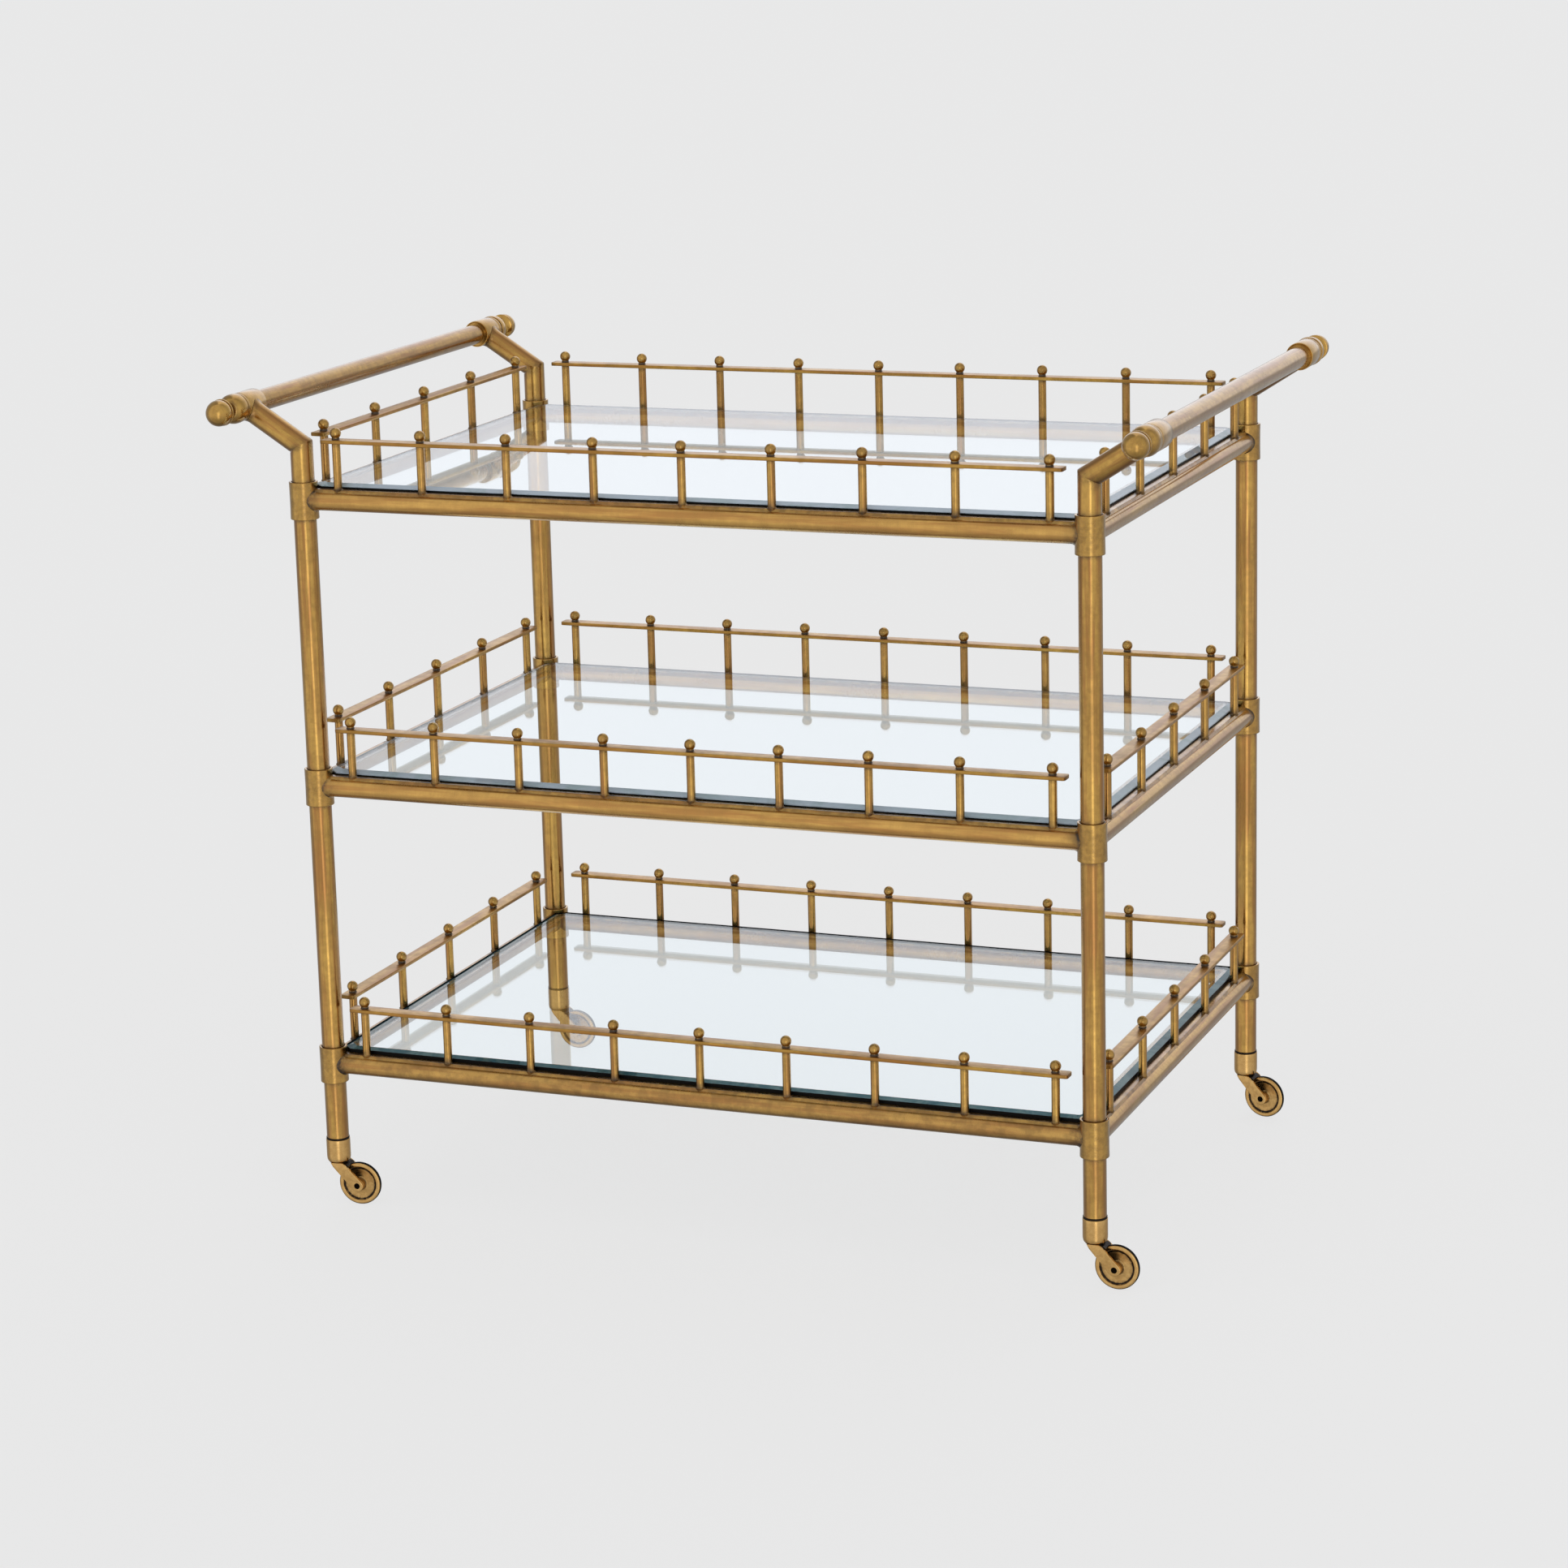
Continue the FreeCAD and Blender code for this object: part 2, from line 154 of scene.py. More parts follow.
def softened(profile, reach, steps=3):
    # Polyline with each inner corner replaced by a parabola that starts and ends at reach from it,
    # or at 0.45 of a shorter side
    profile = np.asarray(profile, float)
    corner, before, after = profile[1:-1], profile[:-2], profile[2:]
    reach = np.broadcast_to(reach, len(corner))[:, None]
    lengthBefore = np.linalg.norm(before - corner, axis=1, keepdims=True)
    lengthAfter = np.linalg.norm(after - corner, axis=1, keepdims=True)
    start = corner + (before - corner) / lengthBefore * np.minimum(reach, 0.45 * lengthBefore)
    end = corner + (after - corner) / lengthAfter * np.minimum(reach, 0.45 * lengthAfter)
    t = np.linspace(0, 1, steps + 1)[None, :, None]
    bend = (1 - t) ** 2 * start[:, None] + 2 * t * (1 - t) * corner[:, None] + t ** 2 * end[:, None]
    return np.concatenate([profile[:1], bend.reshape(-1, 2), profile[-1:]])


def arc(centre, radius, start, end, steps):
    # Points (radius, height) on a circle's arc between two angles in degrees
    angle = np.radians(np.linspace(start, end, steps + 1))
    return np.stack([centre[0] + radius * np.cos(angle), centre[1] + radius * np.sin(angle)], 1)


def turned(profile, columns):
    # Profile of (radius, height) carried round the Z axis: (r cos t, r sin t, h)
    radius, height = np.asarray(profile, float).T
    angle = 2 * np.pi * (np.arange(columns) + 0.5) / columns
    return np.stack([
        radius[:, None] * np.cos(angle),
        radius[:, None] * np.sin(angle),
        np.broadcast_to(height[:, None], (len(radius), columns)),
    ], -1)


def placed(points, axisX, axisY, axisZ, origin):
    # Local X, Y, Z carried onto three directions from an origin
    return points @ np.array([axisX, axisY, axisZ], float) + np.asarray(origin, float)


def evenCount(ring):
    # Ring without its last point where the count is odd, for the quads that close a surface's end
    return ring[:len(ring) // 2 * 2]


def denseNear(start, end, centres, reach, fine, coarse):
    # Stations along a line, a fine step apart within reach of each centre and a coarse one elsewhere
    fineSteps = np.concatenate([np.arange(c - reach, c + reach + fine / 2, fine) for c in centres])
    stations = np.concatenate([[start, end], np.arange(start, end, coarse), fineSteps])
    stations = np.unique(np.clip(stations, start, end))
    keep = np.concatenate([[True], np.diff(stations) > fine * 0.4])
    keep[-1] = True
    return stations[keep]


def glow(distance, reach):
    # Bell curve exp(-(d / reach)^2)
    return np.exp(-(np.asarray(distance, float) / reach) ** 2)


# Materials

def group(name, inputs, outputs):
    # Empty node group with named sockets, and its own start and end nodes
    tree = bpy.data.node_groups.new(name, "ShaderNodeTree")
    for socketName, kind, value in inputs:
        socket = tree.interface.new_socket(socketName, in_out="INPUT", socket_type="NodeSocket" + kind)
        socket.default_value = value
    for socketName, kind in outputs:
        tree.interface.new_socket(socketName, in_out="OUTPUT", socket_type="NodeSocket" + kind)
    return tree, tree.nodes.new("NodeGroupInput"), tree.nodes.new("NodeGroupOutput")


def node(tree, kind, values=None, **links):
    # New node; values fill sockets by name or number, and links join other nodes' outputs to them
    made = tree.nodes.new("ShaderNode" + kind)
    for key, value in (values or {}).items():
        made.inputs[key].default_value = value
    for key, source in links.items():
        key = int(key[1:]) if key[0] == "_" else key.replace("_", " ")
        tree.links.new(source, made.inputs[key])
    return made


def calculate(tree, operation, first, second, clamp=False):
    # Math node on two numbers or outputs
    made = tree.nodes.new("ShaderNodeMath")
    made.operation, made.use_clamp = operation, clamp
    for socket, value in zip(made.inputs, (first, second)):
        if isinstance(value, (int, float)):
            socket.default_value = value
        else:
            tree.links.new(value, socket)
    return made.outputs[0]


def plus(tree, first, second, clamp=False):
    return calculate(tree, "ADD", first, second, clamp)


def times(tree, first, second, clamp=False):
    return calculate(tree, "MULTIPLY", first, second, clamp)


def remap(tree, value, low, high, newLow, newHigh, smooth=True):
    # Low to high becomes newLow to newHigh, held beyond both
    made = node(tree, "MapRange", {1: low, 2: high, 3: newLow, 4: newHigh}, Value=value)
    made.interpolation_type = "SMOOTHSTEP" if smooth else "LINEAR"
    return made.outputs[0]


def blendColours(tree, factor, first, second):
    # First colour at factor 0 and second at factor 1
    made = tree.nodes.new("ShaderNodeMix")
    made.data_type = "RGBA"
    tree.links.new(factor, made.inputs[0])
    for socket, value in zip((made.inputs[6], made.inputs[7]), (first, second)):
        if isinstance(value, tuple):
            socket.default_value = value
        else:
            tree.links.new(value, socket)
    return made.outputs[2]


def noise(tree, coordinates, scale, detail=4.0, roughness=0.55, distortion=0.0):
    # Noise about 0.5, with as many waves a metre as its scale
    values = {"Detail": detail, "Roughness": roughness, "Distortion": distortion}
    made = node(tree, "TexNoise", values, Vector=coordinates)
    if isinstance(scale, (int, float)):
        made.inputs["Scale"].default_value = scale
    else:
        tree.links.new(scale, made.inputs["Scale"])
    return made.outputs["Fac"]


def brushMarksGroup():
    # Fine parallel scratches: noise stretched along the surface's own UV, in marks a metre
    tree, start, end = group("brush marks", [
        ("Across", "Float", 2500.0), ("Along", "Float", 40.0), ("Strength", "Float", 1.0),
    ], [("Marks", "Float")])
    uv = node(tree, "TexCoord").outputs["UV"]
    size = node(tree, "CombineXYZ", X=start.outputs["Along"], Y=start.outputs["Across"]).outputs[0]
    stretched = tree.nodes.new("ShaderNodeVectorMath")
    stretched.operation = "MULTIPLY"
    tree.links.new(uv, stretched.inputs[0])
    tree.links.new(size, stretched.inputs[1])
    marks = remap(tree, noise(tree, stretched.outputs[0], 1.0, 3.0, 0.65), 0.3, 0.7, -0.5, 0.5, False)
    tree.links.new(times(tree, marks, start.outputs["Strength"]), end.inputs["Marks"])
    return tree


wear = {
    "cloudShare": 0.45, "mottleShare": 0.4, "speckShare": 0.10,         # what makes up the patina
    "streakScale": (110.0, 7.0, 1.0),                                   # streaks a metre, round and along
    "dirtRoughness": 0.16, "stainRoughness": 0.3,
    "speckPit": 0.2, "mottleHeight": 0.5,
}


def agedMetalGroup(brushMarks):
    # Lacquered old metal: slow clouds, fine mottling and specks of patina over coppery streaks, with
    # brown stain where the piece's own tarnish attribute says that solder or dirt lies, and painted shade where
    # it marks recesses and shaded sides
    tree, start, end = group("aged metal", [
        ("Bright", "Color", (0.6, 0.4, 0.15, 1)), ("Patina", "Color", (0.3, 0.17, 0.05, 1)),
        ("Stain", "Color", (0.05, 0.03, 0.01, 1)), ("Copper", "Color", (0.45, 0.19, 0.05, 1)),
        ("Patina Amount", "Float", 0.6), ("Streaks", "Float", 1.0),
        ("Clouds", "Float", 22.0), ("Mottle", "Float", 160.0), ("Smooth", "Float", 0.26),
        ("Marks Across", "Float", 2500.0), ("Marks Along", "Float", 40.0), ("Marks Strength", "Float", 0.3),
    ], [("Color", "Color"), ("Roughness", "Float"), ("Height", "Float")])
    place = node(tree, "TexCoord").outputs["Object"]
    clouds = remap(tree, noise(tree, place, start.outputs["Clouds"], 5.0, 0.6, 0.4), 0.35, 0.68, 0, 1)
    mottle = remap(tree, noise(tree, place, start.outputs["Mottle"], 6.0, 0.62), 0.36, 0.66, 0, 1)
    specks = remap(tree, noise(tree, place, 1500.0, 2.0, 0.5), 0.62, 0.74, 0, 1)
    attribute = node(tree, "Attribute")
    attribute.attribute_name = "tarnishAndShade"
    brushed = tree.nodes.new("ShaderNodeGroup")
    brushed.node_tree = brushMarks
    for socketName in ("Across", "Along", "Strength"):
        tree.links.new(start.outputs["Marks " + socketName], brushed.inputs[socketName])
    marks = brushed.outputs["Marks"]
    dirt = times(tree, clouds, wear["cloudShare"])
    dirt = plus(tree, dirt, times(tree, mottle, wear["mottleShare"]))
    dirt = plus(tree, dirt, times(tree, specks, wear["speckShare"]))
    dirt = plus(tree, dirt, marks)
    dirt = times(tree, dirt, start.outputs["Patina Amount"], True)
    stainEdge = remap(tree, mottle, 0, 1, 0.55, 1.25, False)
    # the stain mask paints real solder and dirt, and also painted shade, in the Stain colour
    stain = times(tree, attribute.outputs["Fac"], stainEdge, True)
    drawn = node(tree, "Mapping", {"Scale": wear["streakScale"]}, Vector=node(tree, "TexCoord").outputs["UV"])
    streaks = remap(tree, noise(tree, drawn.outputs[0], 1.0, 4.0, 0.6, 0.3), 0.38, 0.64, 0, 1)
    streaks = times(tree, streaks, start.outputs["Streaks"])
    bright = blendColours(tree, streaks, start.outputs["Bright"], start.outputs["Copper"])
    colour = blendColours(tree, dirt, bright, start.outputs["Patina"])
    colour = blendColours(tree, stain, colour, start.outputs["Stain"])
    roughness = plus(tree, start.outputs["Smooth"], times(tree, dirt, wear["dirtRoughness"]))
    roughness = plus(tree, roughness, times(tree, stain, wear["stainRoughness"]), True)
    height = calculate(tree, "SUBTRACT", marks, times(tree, specks, wear["speckPit"]))
    height = plus(tree, height, times(tree, mottle, wear["mottleHeight"]))
    tree.links.new(colour, end.inputs["Color"])
    tree.links.new(roughness, end.inputs["Roughness"])
    tree.links.new(height, end.inputs["Height"])
    return tree


agedMetal = agedMetalGroup(brushMarksGroup())


def emptyMaterial(name):
    # New material with its node tree and its Principled shader
    material = bpy.data.materials.new(name)
    material.use_nodes = True
    return material, material.node_tree, material.node_tree.nodes["Principled BSDF"]


def metalMaterial(name, colours, patina, clouds, mottle, smooth, marks, streaks=1.0, coat=0.9,
                  coatRoughness=0.16, depth=0.00004):
    # Clouds and mottle are scales of noise, and marks are brush marks a metre across and along, and
    # their strength; a thin clear coat of old lacquer lies on top
    material, tree, shader = emptyMaterial(name)
    worn = tree.nodes.new("ShaderNodeGroup")
    worn.node_tree = agedMetal
    values = {"Patina Amount": patina, "Clouds": clouds, "Mottle": mottle, "Smooth": smooth, "Streaks": streaks}
    values |= zip(("Marks Across", "Marks Along", "Marks Strength"), marks)
    values |= colours
    for key, value in values.items():
        worn.inputs[key].default_value = value
    bump = node(tree, "Bump", {"Strength": 0.5, "Distance": depth}, Height=worn.outputs["Height"])
    tree.links.new(worn.outputs["Color"], shader.inputs["Base Color"])
    tree.links.new(worn.outputs["Roughness"], shader.inputs["Roughness"])
    tree.links.new(bump.outputs["Normal"], shader.inputs["Normal"])
    shader.inputs["Metallic"].default_value = 1.0
    shader.inputs["Coat Weight"].default_value = coat
    shader.inputs["Coat Roughness"].default_value = coatRoughness
    return material


brassColours = {                                 # linear colours
    "Bright": (0.66, 0.385, 0.075, 1),
    "Patina": (0.36, 0.185, 0.028, 1),
    "Copper": (0.43, 0.185, 0.036, 1),
    # Stain: the dark colour of solder and dirt, also used for painted shade
    "Stain": (0.060, 0.030, 0.009, 1),
}
goldenColours = brassColours | {
    "Bright": (0.80, 0.46, 0.105, 1), "Patina": (0.47, 0.245, 0.05, 1), "Copper": (0.56, 0.26, 0.055, 1),
}
paleColours = {
    "Bright": (0.75, 0.47, 0.17, 1), "Patina": (0.50, 0.275, 0.08, 1), "Copper": (0.62, 0.33, 0.10, 1),
    "Stain": (0.020, 0.010, 0.004, 1),
}
steelColours = {
    "Bright": (0.10, 0.065, 0.035, 1), "Patina": (0.035, 0.02, 0.01, 1), "Stain": (0.01, 0.007, 0.004, 1),
}
tubeBrass = metalMaterial("tube_brass", brassColours, patina=0.85, clouds=16.0, mottle=130.0, smooth=0.15,
                          marks=(40.0, 1800.0, 0.18))
railBrass = metalMaterial("rail_brass", goldenColours, patina=0.7, clouds=12.0, mottle=90.0, smooth=0.2,
                          marks=(900.0, 14.0, 0.25))
turnedBrass = metalMaterial("turned_brass", brassColours, patina=0.85, clouds=40.0, mottle=170.0, smooth=0.15,
                            marks=(2600.0, 25.0, 0.45), streaks=0.3)
flatBrass = metalMaterial("flat_brass", brassColours, patina=0.95, clouds=24.0, mottle=90.0, smooth=0.2,
                          marks=(60.0, 1500.0, 0.12), depth=0.00001)
wornBrass = metalMaterial("worn_brass", brassColours, patina=0.9, clouds=30.0, mottle=90.0, smooth=0.3,
                          marks=(60.0, 1500.0, 0.12), coat=0.5, coatRoughness=0.3, depth=0.00001)
paleBrass = metalMaterial("pale_brass", paleColours, patina=0.75, clouds=60.0, mottle=240.0, smooth=0.2,
                          marks=(2600.0, 40.0, 0.3), streaks=0.3, coat=0.25)
darkSteel = metalMaterial("bronzed_steel", steelColours, patina=0.8, clouds=90.0, mottle=400.0, smooth=0.4,
                          marks=(2500.0, 40.0, 0.2), coat=0.0)


def rubberMaterial(name, colour, roughness, specular):
    # Matt black with a faint cloud of dust and a fine grain
    material, tree, shader = emptyMaterial(name)
    place = node(tree, "TexCoord").outputs["Object"]
    dust = remap(tree, noise(tree, place, 120.0, 5.0, 0.65), 0.45, 0.8, 0, 0.5)
    grain = noise(tree, place, 2200.0, 2.0)
    dusty = tuple(3 * value + 0.003 for value in colour[:3]) + (1,)
    shader.inputs["Specular IOR Level"].default_value = specular
    tree.links.new(blendColours(tree, dust, colour, dusty), shader.inputs["Base Color"])
    tree.links.new(remap(tree, dust, 0, 0.5, roughness, roughness + 0.15), shader.inputs["Roughness"])
    bump = node(tree, "Bump", {"Strength": 0.3, "Distance": 0.00003}, Height=grain)
    tree.links.new(bump.outputs["Normal"], shader.inputs["Normal"])
    return material


blackTape = rubberMaterial("black_tape", (0.001, 0.001, 0.001, 1), 0.5, 0.15)
blackTyre = rubberMaterial("black_tyre", (0.002, 0.0017, 0.0013, 1), 0.6, 0.12)


def glassMaterial(name, colour, transmission):
    # Smears on the glass change only its roughness
    material, tree, shader = emptyMaterial(name)
    shader.inputs["Base Color"].default_value = colour
    shader.inputs["Transmission Weight"].default_value = transmission
    shader.inputs["IOR"].default_value = 1.5
    place = node(tree, "TexCoord").outputs["Object"]
    smears = noise(tree, place, 9.0, 6.0, 0.6, 1.0)
    tree.links.new(remap(tree, smears, 0.5, 0.75, 0.0, 0.02), shader.inputs["Roughness"])
    return material


glassTints = {
    "clear": (0.90, 0.965, 0.98, 1), "deepShaded": (0.06, 0.19, 0.24, 1), "pale": (0.70, 0.83, 0.98, 1),
    "flash": (0.35, 0.55, 0.53, 1), "gleam": (0.62, 0.93, 0.96, 1),
    "plain": (0.1, 0.2, 0.2, 1),                 # the bevels' colour where a viewer reads no nodes
}


def cutGlassMaterial():
    # Bevels show the sheet's green depth, painted darker on the bottom shelf as painted shade since it gets
    # less light, and are pale on the others, with flashes
    material = glassMaterial("cut_glass", glassTints["plain"], 0.3)
    tree = material.node_tree
    shader = tree.nodes["Principled BSDF"]
    shader.inputs["Specular Tint"].default_value = glassTints["gleam"]
    place = node(tree, "TexCoord").outputs["Object"]
    height = node(tree, "SeparateXYZ", _0=place).outputs["Z"]
    # painted shade: the bottom shelf's bevels darker than those above
    upper = remap(tree, height, 0.2, 0.5, 0.0, 1.0, False)                # 0 on the bottom shelf, 1 above
    flashes = remap(tree, noise(tree, place, 14.0, 3.0, 0.6, 1.5), 0.42, 0.66, 0.0, 0.45)
    edge = blendColours(tree, upper, glassTints["deepShaded"], glassTints["pale"])
    tree.links.new(blendColours(tree, flashes, edge, glassTints["flash"]), shader.inputs["Base Color"])
    return material


clearGlass = glassMaterial("clear_glass", glassTints["clear"], 1.0)
cutGlass = cutGlassMaterial()
print("materials made")


# Legs: straight tubes, cut off at the top on the plane that halves the angle to the arm

handle = {
    "rise": 43.0,                                # bar's axis above the mitre
    "seamDepth": 0.35,                           # soldered seam round the mitre
    "seamWidth": 1.0,
    "solderStain": 0.42,
    "solderReach": 7.0,
    "fillet": 1.6, "filletLength": 4.0,          # solder that spreads onto the sleeve
    "sleeveReach": 5.0,
}
leg = {
    "columns": 44,
    "bottom": 60.0,                              # hidden in the caster's cup
    "collarStain": 0.5,
    "stainReach": 3.2,
    "steps": (7.0, 1.4, 24.0),                   # reach of the fine rows at a collar, fine and coarse step
}
mitreZ = barAt[2] - handle["rise"]
armLength = np.hypot(barAt[0] - legX, handle["rise"])
columnTurn = 2 * np.pi * (np.arange(leg["columns"]) + 0.5) / leg["columns"]


def armFrame(corner):
    # Directions of a corner's arm: along it, across it in the XZ plane and across it along Y
    side = np.sign(legAt[corner][0])
    along = np.array([side * (barAt[0] - legX), 0, handle["rise"]]) / armLength
    return along, np.array([along[2], 0, -along[0]]), np.array([0, 1.0, 0])


def seamed(distance):
    # Radius lost near a seam: depth times the bell curve of the distance from it
    return handle["seamDepth"] * glow(distance, handle["seamWidth"])


def makeLeg(corner):
    # Surface point = axis + R (cos t, sin t), z from the cup to mitre - n.offset / n.z
    along, _, _ = armFrame(corner)
    normal = along + (0, 0, 1)
    offset = np.stack([np.cos(columnTurn), np.sin(columnTurn), 0 * columnTurn], -1)
    top = mitreZ - legRadius * (offset @ normal) / normal[2]
    collarEdges = [railZ[shelf] + edge for shelf in shelves for edge in (-collarHeight / 2, collarHeight / 2)]
    stations = denseNear(leg["bottom"], mitreZ - 16, collarEdges, *leg["steps"])
    nearTop = np.linspace(1, 0, 12)[1:] ** 1.6   # rows closer together towards the mitre
    lower = np.broadcast_to(stations[:, None], (len(stations), len(top)))
    upper = top - nearTop[:, None] * (top - stations[-1])
    z = np.concatenate([lower, upper])
    radius = legRadius - seamed(top - z)
    points = np.stack([radius * offset[:, 0], radius * offset[:, 1], z], -1) + legAt[corner]
    edgeGap = np.abs(z[..., None] - np.array(collarEdges)).min(-1)
    tarnishAndShade = leg["collarStain"] * glow(edgeGap, leg["stainReach"])
    tarnishAndShade = np.maximum(tarnishAndShade, handle["solderStain"] * glow(top - z, handle["solderReach"]))
    return surface(points, tarnishAndShade)


for corner in corners:
    buildPiece("leg_" + corner, "tube", tubeBrass, [makeLeg(corner)])


# Handle arms: the same tube from the mitre to the sleeve, with a fillet of solder at the sleeve

def makeArm(corner):
    # Start on the mitre plane, end on the sleeve's cylinder: s = L - sqrt(Rs^2 - w^2). The radius
    # grows by fillet (1 - s / length)^2.2 towards that end
    along, across, sideways = armFrame(corner)
    normal = along + (0, 0, 1)
    direction = np.cos(columnTurn)[:, None] * across + np.sin(columnTurn)[:, None] * sideways
    start = -legRadius * (direction @ normal) / (along @ normal)
    flare = legRadius + handle["fillet"] * (1 - np.linspace(0, 1, 8)) ** 2.2
    flareAlong = np.linspace(0, handle["filletLength"], 8)
    t = np.concatenate([np.linspace(0, 1, 12)[:-1] ** 1.6 * 0.5, np.linspace(0.5, 1, 14)])
    end = armLength - np.sqrt(collarRadius ** 2 - (legRadius * np.cos(columnTurn)) ** 2)
    s = start + t[:, None] * (end - start)
    fromEnd = end - s
    radius = np.interp(fromEnd, flareAlong, flare) - seamed(s - start)
    across = np.minimum(radius * np.cos(columnTurn), collarRadius - 0.5)
    flaredEnd = armLength - np.sqrt(collarRadius ** 2 - across ** 2)
    s = np.where(t[:, None] == 1, flaredEnd - 0.3, np.minimum(s, flaredEnd - 0.3))
    middle = legAt[corner] + (0, 0, mitreZ)
    points = middle + s[..., None] * along + radius[..., None] * direction
    solder = np.maximum(glow(s - start, handle["solderReach"]), glow(fromEnd, handle["sleeveReach"]))
    return surface(points, solder * handle["solderStain"])


for corner in corners:
    buildPiece("handle_arm_" + corner, "tube", tubeBrass, [makeArm(corner)])
print("legs and arms made")


# Collars: turned rings on the legs, slightly waisted, with a dark groove against the leg

collar = {
    "columns": 48,
    "edge": 0.8,                                 # rounding of the rims
    "waist": 0.22,                               # how far the middle draws in
    "grooveWidth": 0.7,
    "grooveDepth": 1.6,
    "stain": 0.16, "grooveDarkening": 0.9,
}


def collarProfile():
    # Outer wall R - waist cos(pi z / h), rims rounded, a groove between each rim and the leg
    half = collarHeight / 2
    z = np.linspace(-half + 1.6, half - 1.6, 9)
    wall = np.stack([collarRadius - collar["waist"] * np.cos(np.pi * z / collarHeight), z], 1)
    inner = legRadius - 0.4
    lip = legRadius + collar["grooveWidth"]
    floorZ = half - collar["grooveDepth"]
    rim = [(collarRadius, half), (lip + 0.5, half), (lip, half - 0.25), (lip, floorZ), (inner, floorZ)]
    top = softened(np.concatenate([wall[-1:], rim]), collar["edge"], 3)
    return np.concatenate([top[::-1] * (1, -1), wall[1:-1], top])


collarShape = collarProfile()
inGroove = collarShape[:, :1] < legRadius + 1
collarTarnish = np.maximum(collar["grooveDarkening"] * inGroove, collar["stain"])
for shelf in shelves:
    places = [legAt[corner] + (0, 0, railZ[shelf]) for corner in corners]
    ring = surface(turned(collarShape, collar["columns"]), collarTarnish, wrapRows=True, places=places)
    buildPiece("collars_" + shelf, "turned", turnedBrass, [ring])


# Rails: tubes between the collars, their ends flared by fillets of solder

rail = {
    "columns": 36,
    "fillet": 1.7,                               # how far the solder spreads
    "filletLength": 4.0,
    "stain": 0.5,
    "stainReach": 9.0,
    "endStain": 0.45,
    "endReach": 1.8,
    "lowDarkening": 0.25,                            # the bottom shelf's long rails are browner
    "copeFade": 22.0,                            # how far along the tube the shape of its end fades out
}


def makeRail(start, end, overallDarkening=0.0):
    # Ring at a distance s from each end: radius R + fillet (1 - s / length)^2.2, and the ends
    # follow the collar: x = sqrt(Rc^2 - (r sin t)^2) from the leg's axis
    start, end = np.asarray(start, float), np.asarray(end, float)
    along = (end - start) / np.linalg.norm(end - start)
    length = np.linalg.norm(end - start) - 2 * collarRadius
    side = np.cross(along, (0, 0, 1))
    turn = 2 * np.pi * (np.arange(rail["columns"]) + 0.5) / rail["columns"]
    near = np.concatenate([np.linspace(0, rail["filletLength"], 8), [7, 9, 12, 16, rail["copeFade"]]])
    s = np.concatenate([near, np.linspace(40, length - 40, 14), length - near[::-1]])[:, None]
    fromEnd = np.minimum(s, length - s)
    spread = np.clip(1 - fromEnd / rail["filletLength"], 0, 1) ** 2.2
    radius = railRadius + rail["fillet"] * spread + 0 * turn
    across = np.minimum(np.abs(radius * np.sin(turn)), collarRadius - 0.5)
    cope = collarRadius - np.sqrt(collarRadius ** 2 - across ** 2) + 0.2
    share = np.clip(1 - fromEnd / rail["copeFade"], 0, 1)
    x = collarRadius + s + np.where(s < length / 2, -cope, cope) * share
    points = start + x[..., None] * along + (radius * np.sin(turn))[..., None] * side
    points = points + (radius * np.cos(turn))[..., None] * (0, 0, 1)
    tarnishAndShade = rail["stain"] * glow(fromEnd, rail["stainReach"])
    tarnishAndShade = tarnishAndShade + rail["endStain"] * glow(fromEnd, rail["endReach"])
    return surface(points, np.minimum(tarnishAndShade + overallDarkening, 1) + 0 * turn)


for shelf in shelves:
    z = railZ[shelf]
    # the bottom shelf's long rails are darkened all over
    lowDarkening = rail["lowDarkening"] if shelf == "bottom" else 0.0
    longRails = [makeRail((-legX, y, z), (legX, y, z), lowDarkening) for y in (-legY, legY)]
    sideRails = [makeRail((x, -legY, z), (x, legY, z)) for x in (-legX, legX)]
    buildPiece("long_rails_" + shelf, "tube", railBrass, longRails)
    buildPiece("side_rails_" + shelf, "tube", tubeBrass, sideRails)
print("collars and rails made")


# Ledges: flat bars soldered on the rails, mitred at the corners, stained round each post

gallery = {
    "longPosts": 9, "longPitch": 103.0,
    "shortPosts": 5, "shortPitch": 127.0,
}
ledge = {
    "front": -3.0, "back": 22.0,                 # depths inward from the plane of the legs
    "edge": 0.5,
    "fillet": 1.8,                               # solder that runs from its face down onto the rail
    "step": 5.0,
    "postStain": 0.75,                           # solder and wax round each post's foot, an ellipse
    "stainAlong": 19.0, "stainAcross": 6.5, "stainCore": 0.75, "stainFade": 0.35,
    "rimStain": 0.32, "rimReach": 2.4,           # along the outer rim, between the polished spans
    # below the top face: painted shade where the ledge sits on the rail, over real solder
    "faceDarkening": 0.3, "faceSpots": 0.12, "spotReach": 12.0,
    "endStain": 0.7, "endReach": 8.0,
    # painted shade: the rear bars darkened brown all over
    "rearShade": 0.7,                            # the rear bars are brown all over
}


def postOffsets(count, pitch):
    # Places along a side, a pitch apart and centred: (k - (n - 1) / 2) pitch
    return (np.arange(count) - (count - 1) / 2) * pitch


